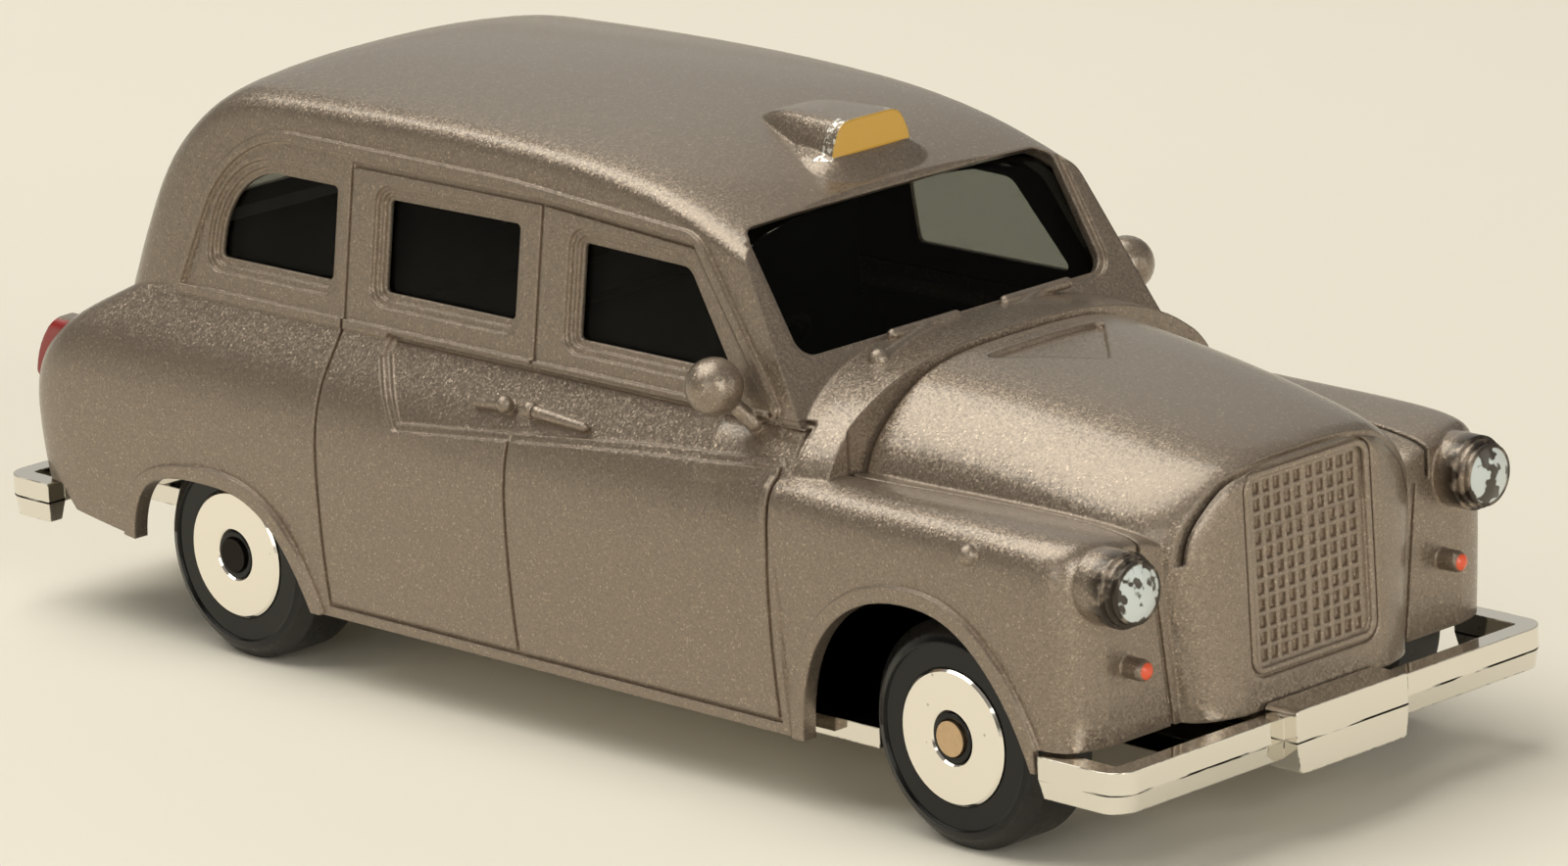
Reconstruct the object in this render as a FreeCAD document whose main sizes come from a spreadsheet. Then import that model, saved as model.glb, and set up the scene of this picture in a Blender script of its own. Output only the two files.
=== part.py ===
"""Die-cast toy taxi, about 73 mm long.

A hollow zinc casting is the whole painted body. Inside it sit a clear moulded glazing shell and a
black seat tub. A bright plated base carries both bumpers and closes the underside, and two posts of
the casting pass through it and are spun over. Two plain steel axles lie in the base, and four black
wheels turn on them, each with a bright disc pressed into its face.

Millimetres. +X points to the front, +Y to the left, +Z up. The origin is on the ground in the
middle of the length and width.
"""

import FreeCAD, Part
import Sketcher
import math
import os

from FreeCAD import Placement, Rotation, Vector

os.makedirs("parts", exist_ok=True)
doc = FreeCAD.newDocument("ToyTaxi")

# Driving dimensions: name, value and what it measures. An inset is measured inwards from the side
# of the body, a setback inwards from the face of the nearer bumper, a gap back from the front axle.
SIZES = (
    ("wheelbase", 46.0, "axle to axle"),
    ("front_overhang", 10.9, "front axle to the face of the front bumper"),
    ("rear_overhang", 15.9, "rear axle to the face of the rear bumper"),
    ("overrun", 1.0, "how far a cutting tool passes the face it cuts"),
    # Casting, lower body
    ("body_width", 27.2, "widest place of the doors and wings"),
    ("sill_height", 3.3, "ground to the underside of the sills"),
    ("shoulder_height", 16.6, "ground to the top of the waist"),
    ("tail_setback", 1.2, "rear bumper face to the rear wings"),
    ("tail_bow", 0.4, "how far the middle of the tail bulges past its corners"),
    ("bulkhead_gap", 9.6, "front axle back to the bulkhead"),
    ("wall", 0.62, "thickness of the casting"),
    # Casting, cab
    ("cab_sunk", 1.6, "how far the cab walls start below the waist"),
    ("cab_inset", 2.05, "cab walls at their foot"),
    ("cab_roof_inset", 3.95, "cab walls carried up to the roof height"),
    ("roof_height", 27.3, "ground to the crown of the roof"),
    ("cab_back_setback", 5.1, "rear bumper face to the middle of the cab's back"),
    ("screen_foot_gap", 10.4, "foot of the windscreen plane"),
    ("screen_foot_rise", 0.6, "waist to that foot"),
    ("screen_top_gap", 15.1, "top of the windscreen plane"),
    ("screen_top_drop", 2.4, "crown of the roof to that top"),
    ("screen_sill", 2.1, "windscreen foot to its opening, along the plane"),
    ("screen_header", 0.7, "windscreen top to its opening, along the plane"),
    ("screen_post_inset", 4.2, "windscreen opening"),
    # Casting, bonnet, scuttle, wings and boot
    ("nose_setback", 2.2, "front bumper face to the grille face at its top"),
    ("nose_rake", 0.5, "how far the grille face leans back from foot to top"),
    ("bonnet_height", 19.0, "ground to the top of the bonnet at the scuttle"),
    ("bonnet_inset", 2.3, "bonnet at the scuttle"),
    ("scuttle_gap", 7.7, "front edge of the scuttle"),
    ("wing_setback", 3.5, "front bumper face to the front panel of the wings"),
    ("wing_height", 14.9, "ground to the ridge of the front wings"),
    ("wing_width", 7.0, "outer to inner side of a front wing"),
    ("boot_inset", 5.3, "boot lid"),
    ("boot_setback", 1.5, "rear bumper face to the fullest place of the boot lid"),
    ("boot_height", 18.0, "top of the boot lid below the rear window"),
    # Lines and low relief of the casting
    ("seam_width", 0.24, "groove round a door or lid"),
    ("seam_depth", 0.22, "groove round a door or lid"),
    ("rib_width", 0.44, "drip rail over the side windows"),
    ("rib_height", 0.22, "how far drip rail and arch lips stand proud"),
    ("lip_width", 0.75, "raised lip round a wheel arch"),
    ("frame_step", 0.32, "width of one step of a window frame"),
    ("frame_depth", 0.2, "depth of one step of a window frame"),
    ("corner_round", 0.9, "corners of the window frames"),
    ("swage_depth", 0.3, "step of the doors along the swage line"),
    ("handle_height", 15.0, "ground to a door handle"),
    ("handle_radius", 0.42, "boss of a door handle"),
    ("handle_lever", 3.4, "front door handle"),
    # Grille
    ("grille_width", 8.0, "frame of the grille"),
    ("grille_foot_height", 6.9, "ground to the foot of that frame"),
    ("grille_height", 9.0, "frame of the grille, foot to top"),
    ("grille_frame", 0.42, "width of that frame"),
    ("grille_depth", 0.28, "frame to the mesh, and mesh to the bottom of its holes"),
    ("grille_rows", 11, "rows of holes"),
    ("grille_columns", 5, "holes beside the centre bar"),
    ("grille_bar", 0.22, "bar between two holes"),
    ("grille_centre_bar", 0.34, "plain bar in the middle"),
    # Wheels and axles
    ("wheel_radius", 5.02, "tread radius"),
    ("wheel_width", 3.8, "tread width"),
    ("wheel_inset", 0.65, "outer face of a wheel"),
    ("tread_round", 0.55, "bevel at the edge of the tread"),
    ("sidewall_dish", 0.15, "how far the face falls back from its raised ring to the tread"),
    ("face_ring", 0.95, "tread to the inner edge of the raised ring on the face"),
    ("face_step", 0.12, "inner edge of that ring down to the face round the disc"),
    ("hub_radius", 1.5, "boss on the inner side of a wheel"),
    ("rim_radius", 4.0, "hollow in the inner side of a wheel"),
    ("rim_depth", 2.4, "depth of that hollow"),
    ("disc_radius", 2.98, "bright disc"),
    ("disc_hole_radius", 1.13, "hole in the bright disc"),
    ("disc_thickness", 0.3, "bright disc"),
    ("disc_seat_depth", 0.15, "recess in the wheel that takes the disc"),
    ("disc_gap", 0.04, "space round the disc in its recess"),
    ("axle_radius", 0.6, "steel axle"),
    ("axle_head_radius", 0.78, "formed end of an axle"),
    ("axle_head_length", 0.35, "formed end of an axle"),
    ("running_gap", 0.05, "radial space between an axle and a wheel"),
    ("side_play", 0.15, "space beside a wheel along its axle"),
    ("wheel_space", 0.3, "space round a wheel inside the body"),
    # Glazing and seat tub
    ("glass_gap", 0.06, "space between the casting and the glazing"),
    ("glass_thickness", 0.55, "clear moulding"),
    ("glass_foot_rise", 0.3, "waist to the lower edge of the clear moulding"),
    ("tub_inset", 2.8, "black seat moulding"),
    ("tub_upper_inset", 4.6, "seat backs and partition between the glazing"),
    ("tub_wall", 0.8, "black seat moulding"),
    ("tub_floor_height", 6.6, "underside of the tub floor"),
    ("tub_drop", 1.2, "waist to the top edge of the tub"),
    ("tub_front_gap", 12.6, "front of the tub"),
    ("tub_step_reach", 6.4, "rear axle forward to the step up over the rear wheels"),
    ("tub_back_setback", 9.3, "rear bumper face to the back of the tub"),
    ("tub_gap", 0.3, "space between the tub and the pieces round it"),
    ("seat_drop", 3.6, "waist to the top of a seat cushion"),
    ("seat_back_rise", 2.4, "waist to the top of the seat backs"),
    ("seat_back_thickness", 1.8, "seat backs"),
    ("seat_depth", 6.0, "front to back of a seat cushion"),
    ("front_seat_width", 7.4, "driver's seat"),
    ("front_seat_play", 1.1, "driver's seat to the side of the tub"),
    ("partition_gap", 27.6, "partition behind the driver"),
    ("partition_rise", 3.8, "waist to the top of that partition"),
    ("steering_radius", 1.9, "steering wheel"),
    ("steering_rim_radius", 0.28, "rim of the steering wheel"),
    ("steering_reach", 4.8, "front of the tub back to the middle of the steering wheel"),
    ("steering_rise", 1.2, "waist to the middle of the steering wheel"),
    # Base and bumpers
    ("base_thickness", 0.9, "plated base"),
    ("base_inset", 1.6, "base between the wheels"),
    ("base_gap", 0.06, "space between the base and the casting"),
    ("neck_width", 10.6, "base between a pair of wheels and its bumper"),
    ("cradle_length", 3.4, "block of the base that holds an axle, along the car"),
    ("cradle_cover", 1.38, "axle to the top of that block"),
    ("axle_fit", 0.03, "space between an axle and its cradle"),
    ("bumper_inset", 0.05, "both bumpers"),
    ("bumper_depth", 1.0, "bumper bars, front to back"),
    ("bumper_corner", 1.2, "rounding of a bumper in plan"),
    ("bumper_foot_height", 3.6, "ground to the underside of the front bumper"),
    ("bumper_lower", 0.85, "front bumper below its crease"),
    ("bumper_upper", 1.0, "front bumper above its crease"),
    ("bumper_return", 4.6, "front bumper face to the end of its return along the side"),
    ("bumper_tuck", 0.16, "how far the lower half of a bumper leans in"),
    ("block_width", 7.0, "plate holder in the middle of the front bumper"),
    ("block_height", 2.8, "plate holder, top to bottom"),
    ("block_proud", 0.75, "how far the plate holder stands past the bar"),
    ("rear_bumper_foot_height", 4.5, "ground to the underside of the rear bumper"),
    ("rear_bumper_half", 0.95, "half of the rear bumper, top to bottom"),
    ("rear_bumper_return", 3.3, "rear bumper face to the end of its return along the side"),
    ("bumper_arm_width", 5.0, "arm that carries a bumper"),
    ("post_radius", 1.1, "post of the casting that holds the base"),
    ("post_head_radius", 1.55, "spun end of a post"),
    ("post_head_thickness", 0.3, "spun end of a post"),
    ("front_post_setback", 5.5, "front bumper face to the front post"),
    ("rear_post_setback", 3.2, "rear bumper face to the rear post"),
    ("relief", 0.35, "depth of the sunk panels under the base"),
    ("relief_border", 2.0, "rim round those panels"),
    ("shaft_radius", 0.9, "propeller shaft in the panels"),
    ("sump_length", 7.0, "engine sump in the front panel"),
    ("sump_width", 5.5, "engine sump in the front panel"),
    ("pipe_radius", 0.55, "exhaust pipe in the panels"),
    ("pipe_inset", 6.6, "exhaust pipe"),
    # Lamps, mirrors, wipers and sign, all cast with the body
    ("lamp_height", 12.5, "ground to the middle of a headlamp"),
    ("lamp_inset", 2.65, "middle of a headlamp"),
    ("lamp_setback", 1.4, "front bumper face to the headlamp glass"),
    ("lamp_glass_radius", 1.22, "headlamp glass"),
    ("lamp_ring", 0.14, "width of one ring round a headlamp"),
    ("lamp_ring_step", 0.32, "front to back of one ring"),
    ("lamp_length", 5.0, "headlamp pod"),
    ("indicator_radius", 0.48, "front indicator"),
    ("indicator_height", 8.75, "ground to the middle of a front indicator"),
    ("indicator_inset", 3.75, "front indicator"),
    ("indicator_setback", 2.25, "front bumper face to the tip of a front indicator"),
    ("tail_lamp_width", 1.7, "tail lamp"),
    ("tail_lamp_height", 3.1, "tail lamp"),
    ("tail_lamp_middle", 12.4, "ground to the middle of a tail lamp"),
    ("tail_lamp_inset", 2.5, "tail lamp"),
    ("mirror_radius", 1.28, "door mirror"),
    ("mirror_gap", 13.6, "door mirror"),
    ("mirror_inset", 0.8, "middle of a door mirror"),
    ("mirror_rise", 1.5, "waist to the middle of a door mirror"),
    ("mirror_stalk_radius", 0.3, "stalk of a door mirror"),
    ("wiper_radius", 0.22, "wiper arm"),
    ("wiper_length", 4.4, "wiper arm"),
    ("wiper_boss_radius", 0.5, "pivot of a wiper"),
    ("sign_width", 4.9, "roof sign at its foot"),
    ("sign_top_width", 3.5, "roof sign at its top"),
    ("sign_gap", 16.4, "face of the roof sign"),
    ("sign_length", 6.4, "roof sign and its fairing"),
    ("sign_foot_drop", 1.62, "crown of the roof to the foot of the sign face"),
    ("sign_top_drop", 0.2, "crown of the roof to the top of the sign face"),
    ("brow_width", 7.0, "raised roof round the foot of the sign"),
    ("brow_length", 5.0, "raised roof round the foot of the sign"),
    ("brow_reach", 1.25, "how far that comes ahead of the sign face"),
)

sheet = doc.addObject("Spreadsheet::Sheet", "Sizes")
for row, (alias, value, note) in enumerate(SIZES, start=1):
    sheet.set("A%d" % row, alias)
    sheet.set("B%d" % row, str(value))
    sheet.set("C%d" % row, note)
    sheet.setAlias("B%d" % row, alias)
doc.recompute()


def size(alias):
    """The value of a named dimension, as the sheet gives it."""
    return float(sheet.get(alias))


rear_axle = (size("rear_overhang") - size("front_overhang") - size("wheelbase")) / 2
front_axle = rear_axle + size("wheelbase")
front_end = front_axle + size("front_overhang")
rear_end = rear_axle - size("rear_overhang")
half_body = size("body_width") / 2
waist = size("shoulder_height")
roof_height = size("roof_height")
cab_foot = waist - size("cab_sunk")
wheel_radius = size("wheel_radius")
wall = size("wall")
overrun = size("overrun")
front_bumper_top = size("bumper_foot_height") + size("bumper_lower") + size("bumper_upper")
rear_bumper_top = size("rear_bumper_foot_height") + 2 * size("rear_bumper_half")
SIDES = (1, -1)


def keep(name, shape):
    """Store a shape that is worked out here as an object of the document."""
    feature = doc.addObject("Part::Feature", name)
    feature.Label = name
    feature.Shape = shape
    return feature


def clamped(count, degree=3):
    """Multiplicities and knots of a clamped spline with that many poles."""
    inner = count - degree - 1
    return [degree + 1] + [1] * inner + [degree + 1], list(range(inner + 2))


def skin(rows):
    """A solid under a smooth control net: one row of poles for each section along the form."""
    surface = Part.BSplineSurface()
    row_mults, row_knots = clamped(len(rows))
    pole_mults, pole_knots = clamped(len(rows[0]))
    surface.buildFromPolesMultsKnots(rows, row_mults, pole_mults, row_knots, pole_knots, False, False, 3, 3)
    over = surface.toShape()
    first, last = rows[0], rows[-1]
    ends = []
    for row in (first, last):
        curve = Part.BSplineCurve()
        curve.buildFromPolesMultsKnots(row, pole_mults, pole_knots, False, 3)
        ends.append(Part.Face(Part.Wire([curve.toShape(), Part.makeLine(row[-1], row[0])])))
    rims = []
    for place in (0, -1):
        curve = Part.BSplineCurve()
        curve.buildFromPolesMultsKnots([row[place] for row in rows], row_mults, row_knots, False, 3)
        rims.append(curve.toShape())
    under = Part.makeRuledSurface(rims[0], rims[1])
    shell = Part.makeShell([over, under] + ends)
    shell.sewShape()
    solid = Part.makeSolid(shell)
    if solid.Volume < 0:
        solid.reverse()
    return solid


def arch(half):
    """Mirror one half of a control polygon, which ends on the centre line, to the other side."""
    return half + [Vector(p.x, -p.y, p.z) for p in reversed(half[:-1])]


def side_view(u, v):
    """A point of a drawing that looks at the side of the car."""
    return Vector(u, 0, v)


def plan_view(u, v):
    """A point of a drawing that looks down on the car."""
    return Vector(u, v, 0)


def end_view(u, v):
    """A point of a drawing that looks along the car."""
    return Vector(0, u, v)


def rounded(corners, radius, view, grow=0.0):
    """A closed outline with rounded corners, moved outwards by grow. Corners are (u, v) or, where
    one has a rounding of its own, (u, v, radius), and run anticlockwise."""
    count = len(corners)
    spots = [Vector(c[0], c[1], 0) for c in corners]
    radii = [c[2] if len(c) > 2 else radius for c in corners]
    ways = [(spots[(i + 1) % count] - spots[i]).normalize() for i in range(count)]
    starts = []
    for i in range(count):
        before, after = ways[i - 1], ways[i]
        out_before, out_after = Vector(before.y, -before.x, 0), Vector(after.y, -after.x, 0)
        middle = (out_before + out_after).normalize()
        starts.append(spots[i] + middle * (grow / middle.dot(out_after)))
    edges, previous, first = [], None, None
    for i in range(count):
        before, after = ways[i - 1], ways[i]
        turn = before.cross(after).z
        bend = max(radii[i] + (grow if turn > 0 else -grow), 0.0)
        angle = before.getAngle(after)
        reach = bend * math.tan(angle / 2)
        enter, leave = starts[i] - before * reach, starts[i] + after * reach
        if previous is not None:
            edges.append(Part.makeLine(view(previous.x, previous.y), view(enter.x, enter.y)))
        else:
            first = enter
        if reach > 0:
            inward = (after - before).normalize()
            centre = starts[i] + inward * (bend / math.cos(angle / 2))
            crest = centre - inward * bend
            arc = Part.Arc(view(enter.x, enter.y), view(crest.x, crest.y), view(leave.x, leave.y))
            edges.append(arc.toShape())
        previous = leave
    edges.append(Part.makeLine(view(previous.x, previous.y), view(first.x, first.y)))
    return Part.Wire(edges)


def side_prism(outline, inner, outer, side):
    """Extrude an outline of the side view from one distance off the centre line to another."""
    start = inner if side > 0 else -outer
    face = Part.Face(outline)
    face.translate(Vector(0, start, 0))
    return face.extrude(Vector(0, outer - inner, 0))


def prism(outline, start, sweep):
    """Extrude an outline from a start place."""
    face = Part.Face(outline)
    face.translate(start)
    return face.extrude(sweep)


def polygon(points, y=0.0):
    """A closed outline of the side view through its corners."""
    corners = [Vector(x, y, z) for x, z in points]
    return Part.makePolygon(corners + corners[:1])


def box(low_x, high_x, low_y, high_y, low_z, high_z):
    """A block between its lowest and highest corners."""
    corner = Vector(low_x, low_y, low_z)
    return Part.makeBox(high_x - low_x, high_y - low_y, high_z - low_z, corner)


# Lower body: plan sections from the sill to the waist, as shares of height, half width and tail
HULL_SHARES = (
    (0.000, 0.962, 0.925),
    (0.165, 0.985, 0.962),
    (0.460, 1.000, 1.000),
    (0.650, 0.996, 0.985),
    (0.775, 0.968, 0.900),
    (0.865, 0.925, 0.785),
    (0.935, 0.875, 0.650),
    (1.000, 0.835, 0.530),
)
# One half of a plan section of the tail, as shares of half width and of tail reach
TAIL_OUTLINE_SHARES = ((1.0, 0.30), (1.0, 0.62), (0.995, 0.86), (0.93, 0.99), (0.72, 1.0), (0.35, 1.0))


def lower_body(inset, floor):
    """Doors, sills, rear wings and tail, from the bulkhead back, as one lofted block."""
    height = waist - size("sill_height")
    front = front_axle - size("bulkhead_gap") - inset
    reach = size("rear_overhang") - size("tail_setback")
    levels = []
    for height_share, width_share, tail_share in HULL_SHARES:
        z = size("sill_height") + height_share * height - inset * height_share
        if height_share == 0:
            z = z - floor
        width = (half_body - inset) * width_share
        tail = reach * tail_share - inset
        half = [Vector(front, width, z)]
        half += [Vector(rear_axle - tail * t, width * w, z) for w, t in TAIL_OUTLINE_SHARES]
        half.append(Vector(rear_axle - tail - size("tail_bow") * tail_share, 0, z))
        levels.append(arch(half))
    return skin(levels)


# Crown line of the cab over the back: shares of the rear reach and of the rise to the roof, and how
# far the section has changed from the round back to the boxy middle
CAB_BACK_SHARES = (
    (1.00, 0.000, 0.00),
    (0.91, 0.260, 0.05),
    (0.80, 0.500, 0.20),
    (0.66, 0.690, 0.42),
    (0.48, 0.820, 0.66),
    (0.28, 0.925, 0.86),
    (0.06, 0.965, 1.00),
)
# Crown line of the roof forward of the rear axle: shares of the screen foot reach and of the rise
CAB_ROOF_SHARES = (
    (0.06, 0.972), (0.22, 0.985), (0.40, 0.985), (0.55, 0.968), (0.72, 0.925), (0.86, 0.80), (1.03, 0.56),
)
# One half of a cab section: share of the way from the foot to the crown, share of the wall width
CAB_MIDDLE_SHARES = (
    (0.05, 1.0), (0.35, 1.0), (0.68, 1.0), (0.84, 1.0), (0.905, 1.0), (0.95, 0.91), (0.985, 0.58), (1.0, 0.26),
)
CAB_ROUND_SHARES = (
    (0.05, 1.0), (0.25, 1.0), (0.46, 1.0), (0.68, 1.0), (0.86, 0.96), (0.96, 0.70), (0.995, 0.34), (1.0, 0.15),
)


def cab(inset):
    """Walls and roof of the cab. The rear sections fan round a line across the rear axle."""
    rise = roof_height - cab_foot - inset
    rear_reach = size("rear_overhang") - size("cab_back_setback") - inset
    front_reach = size("wheelbase") - size("screen_foot_gap")
    crown = [(rear_axle - rear_reach * r, cab_foot + rise * h, rear_axle, mix) for r, h, mix in CAB_BACK_SHARES]
    for r, h in CAB_ROOF_SHARES:
        x = rear_axle + front_reach * r
        crown.append((x, cab_foot + rise * h, x, 1.0))
    foot_half, roof_half = half_body - size("cab_inset"), half_body - size("cab_roof_inset")
    sections = []
    for x, z, foot_x, mix in crown:
        half = []
        for (way_round, width_round), (way_middle, width_middle) in zip(CAB_ROUND_SHARES, CAB_MIDDLE_SHARES):
            way = way_round + (way_middle - way_round) * mix
            width_share = width_round + (width_middle - width_round) * mix
            px = foot_x + (x - foot_x) * way
            pz = cab_foot + (z - cab_foot) * way
            lean = (pz - cab_foot) / (roof_height - cab_foot)
            side = foot_half + (roof_half - foot_half) * lean
            half.append(Vector(px, (side - inset) * width_share, pz))
        half.append(Vector(x, 0, z))
        sections.append(arch(half))
    return skin(sections).cut(screen_tool(inset))


def screen_line(offset):
    """Foot and top of the windscreen plane in the side view, moved back by an offset."""
    foot = Vector(front_axle - size("screen_foot_gap"), 0, waist + size("screen_foot_rise"))
    top = Vector(front_axle - size("screen_top_gap"), 0, roof_height - size("screen_top_drop"))
    along = (top - foot).normalize()
    back = Vector(-along.z, 0, along.x)
    return foot + back * offset, top + back * offset, along


def screen_tool(offset):
    """What lies in front of the windscreen plane, for cutting the cab."""
    foot, top, along = screen_line(offset)
    low, high = foot - along * roof_height, top + along * roof_height
    ahead = Vector(roof_height, 0, 0)
    outline = Part.makePolygon([low, high, high + ahead, low + ahead, low])
    return side_prism(outline, -size("body_width"), size("body_width"), 1)


# Bonnet sections: shares of its length, of its height, of its half width at the flank and at the
# foot, and the fullness of its crown
BONNET_SHARES = (
    (0.00, 1.000, 1.00, 1.00, 0.60),
    (0.20, 0.995, 0.95, 0.95, 0.60),
    (0.45, 0.975, 0.88, 0.80, 0.58),
    (0.68, 0.940, 0.85, 0.70, 0.55),
    (0.84, 0.905, 0.83, 0.64, 0.54),
    (0.93, 0.880, 0.78, 0.61, 0.57),
    (0.985, 0.860, 0.64, 0.56, 0.68),
    (1.00, 0.840, 0.42, 0.395, 0.90),
)
# One half of a bonnet section above its flank: share of the way in to the crown, share of the rise
BONNET_CROWN_SHARES = ((0.5, 0.55), (1.0, 0.9))


def bonnet(inset, floor):
    """Bonnet and nose, from inside the cab to the grille face."""
    start = front_axle - size("screen_top_gap")
    length = front_end - size("nose_setback") - inset - start
    foot = size("sill_height") - floor
    full_half = half_body - size("bonnet_inset")
    sections = []
    for x_share, z_share, flank_share, foot_share, crown_share in BONNET_SHARES:
        x = start + length * x_share
        lean = size("nose_rake") * x_share / size("bonnet_height")
        top = size("bonnet_height") * z_share - inset
        width = full_half * flank_share - inset
        low_width = full_half * foot_share - inset
        flank = size("wing_height") * z_share - inset
        half = [(low_width, foot), (low_width, (foot + flank) / 2), (width, flank)]
        for way, rise in BONNET_CROWN_SHARES:
            half.append((width * (1 + (crown_share - 1) * way), flank + (top - flank) * rise))
        half += [(width * crown_share / 2, top), (0, top)]
        sections.append(arch([Vector(x + lean * (top - z), y, z) for y, z in half]))
    return skin(sections)


# Front wing sections: shares of the wing length, of the half width and of the ridge height
WING_SHARES = (
    (0.00, 0.995, 1.000),
    (0.20, 1.000, 0.985),
    (0.45, 1.000, 0.985),
    (0.68, 1.000, 0.985),
    (0.84, 1.000, 0.980),
    (0.93, 0.990, 0.970),
    (0.985, 0.950, 0.955),
    (1.00, 0.820, 0.930),
)
# One wing section: shares of the way from its inner to its outer side and of the ridge height
WING_SECTION_SHARES = (
    (0.00, 0.60), (0.00, 0.93), (0.25, 0.975), (0.55, 1.0), (0.80, 1.005), (0.97, 0.96), (1.0, 0.84), (1.0, 0.65),
)
# How far in the foot of a wing lies
WING_FOOT_SHARE = 0.965


def front_wing(side, inset, floor):
    """One front wing, from the bulkhead to its front panel."""
    start = front_axle - size("bulkhead_gap") - overrun
    length = front_end - size("wing_setback") - inset - start
    foot = size("sill_height") - floor
    inner = half_body - size("wing_width")
    if floor:
        inner = inner / 2
    sections = []
    for x_share, width_share, z_share in WING_SHARES:
        x = start + length * x_share
        outer = half_body * width_share - inset
        top = size("wing_height") * z_share - inset
        row = [(inner, foot)]
        row += [(inner + (outer - inner) * way, top * rise) for way, rise in WING_SECTION_SHARES]
        row.append((outer * WING_FOOT_SHARE, foot))
        sections.append([Vector(x, side * y, z) for y, z in row])
    return skin(sections)


# Scuttle: shares of its length and of its width, then one half section as shares of the half body
# width and of the way from the sill to the top of the bonnet
SCUTTLE_SHARES = ((0.0, 1.0), (0.35, 1.0), (0.7, 0.985), (1.0, 0.945))
SCUTTLE_SECTION_SHARES = (
    (0.962, 0.0), (0.985, 0.40), (0.975, 0.63), (0.940, 0.735), (0.890, 0.805), (0.790, 0.875), (0.590, 0.955),
    (0.330, 0.995), (0.0, 1.005),
)


def scuttle(inset, floor):
    """Panel between the windscreen, the doors and the rear edge of the bonnet."""
    start = front_axle - size("screen_top_gap") + inset
    length = front_axle - size("scuttle_gap") - inset - start
    foot = size("sill_height") - floor
    rise = size("bonnet_height") - size("sill_height") - inset
    sections = []
    for x_share, width_share in SCUTTLE_SHARES:
        half = []
        for y_share, z_share in SCUTTLE_SECTION_SHARES:
            y = (half_body * y_share - inset) * width_share if y_share else 0
            z = foot if z_share == 0 else size("sill_height") + rise * z_share
            half.append(Vector(start + length * x_share, y, z))
        sections.append(arch(half))
    return skin(sections)


# Boot lid: plan sections, as shares of its height, half width and reach
BOOT_SHARES = (
    (0.36, 1.00, 0.975),
    (0.46, 1.00, 0.992),
    (0.60, 1.00, 1.000),
    (0.74, 0.99, 0.975),
    (0.86, 0.96, 0.905),
    (0.94, 0.91, 0.805),
    (1.00, 0.84, 0.680),
)
# One half of a plan section of the boot lid, as shares of half width and of reach
BOOT_OUTLINE_SHARES = ((1.0, 0.0), (1.0, 0.5), (1.0, 0.88), (0.86, 1.0), (0.4, 1.02), (0.0, 1.025))


def boot(inset, floor):
    """Boot lid that bulges out between the rear wings."""
    full_reach = size("rear_overhang") - size("boot_setback")
    sections = []
    for z_share, width_share, reach_share in BOOT_SHARES:
        z = size("boot_height") * z_share - inset
        if z_share == BOOT_SHARES[0][0]:
            z = z - floor
        width = (half_body - size("boot_inset")) * width_share - inset
        reach = full_reach * reach_share - inset
        sections.append(arch([Vector(rear_axle - reach * t, width * w, z) for w, t in BOOT_OUTLINE_SHARES]))
    return skin(sections)


def body_block(inset, floor):
    """The main forms of the casting joined, each side moved in by the inset."""
    others = [cab(inset), bonnet(inset, floor), boot(inset, floor), scuttle(inset, floor)]
    others += [front_wing(side, inset, floor) for side in SIDES]
    return lower_body(inset, floor).fuse(others)


# Wheel arch edges: shares of the wheel radius back and forward of the axle, and of it above ground
REAR_ARCH_SHARES = (
    (-1.30, 0.95), (-1.22, 1.25), (-1.02, 1.52), (-0.70, 1.64), (-0.2, 1.67), (0.30, 1.61), (0.68, 1.38),
    (0.94, 1.02), (1.10, 0.62),
)
FRONT_ARCH_SHARES = (
    (-1.72, 0.62), (-1.66, 1.05), (-1.50, 1.48), (-1.20, 1.84), (-0.80, 2.06), (-0.35, 2.13), (0.10, 2.06),
    (0.50, 1.78), (0.80, 1.36), (0.98, 0.92), (1.06, 0.60),
)


def arch_tool(axle, shares, side, grow=0.0):
    """What is cut out of the body side over one wheel, its edge moved outwards by grow."""
    hub = Vector(axle, 0, wheel_radius)
    points = []
    for x_share, z_share in shares:
        point = Vector(axle + x_share * wheel_radius, 0, z_share * wheel_radius)
        points.append(point + (point - hub).normalize() * grow)
    curve = Part.BSplineCurve()
    curve.interpolate(points)
    first, last = points[0], points[-1]
    foot = -overrun
    lower = [last, Vector(last.x, 0, foot), Vector(first.x, 0, foot), first]
    outline = Part.Wire([curve.toShape()] + list(Part.makePolygon(lower).Edges))
    return side_prism(outline, half_body / 2, size("body_width"), side)


# Window frames: corners in the side view, as shares of the way from the rear axle to the screen
# foot and from waist to roof, and the rounding of one corner as a share of that rise
WINDOW_SHARES = (
    ((-0.084, 0.105), (0.170, 0.105), (0.170, 0.62), (-0.070, 0.62, 0.40)),
    ((0.234, 0.105), (0.511, 0.105), (0.511, 0.62), (0.234, 0.61)),
    ((0.592, 0.085), (0.917, 0.085), (0.806, 0.585, 0.14), (0.592, 0.60)),
)


def on_side(shares, radius, view, grow=0.0):
    """An outline over the waist from shares of the screen foot reach and of the rise to the roof."""
    reach = size("wheelbase") - size("screen_foot_gap")
    rise = roof_height - waist
    corners = []
    for x_share, z_share, *bend in shares:
        corners.append((rear_axle + x_share * reach, waist + z_share * rise) + tuple(b * rise for b in bend))
    return rounded(corners, radius, view, grow)


def wall_view(side, depth):
    """The drawing plane of one cab wall, a depth below its surface, and the way out of it."""
    lean = size("cab_roof_inset") - size("cab_inset")
    rise = roof_height - cab_foot
    out = Vector(0, side * rise, lean).normalize()

    def place(u, v):
        across = half_body - size("cab_inset") - lean * (v - cab_foot) / rise
        return Vector(u, side * across, v) - out * depth

    return place, out


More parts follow.
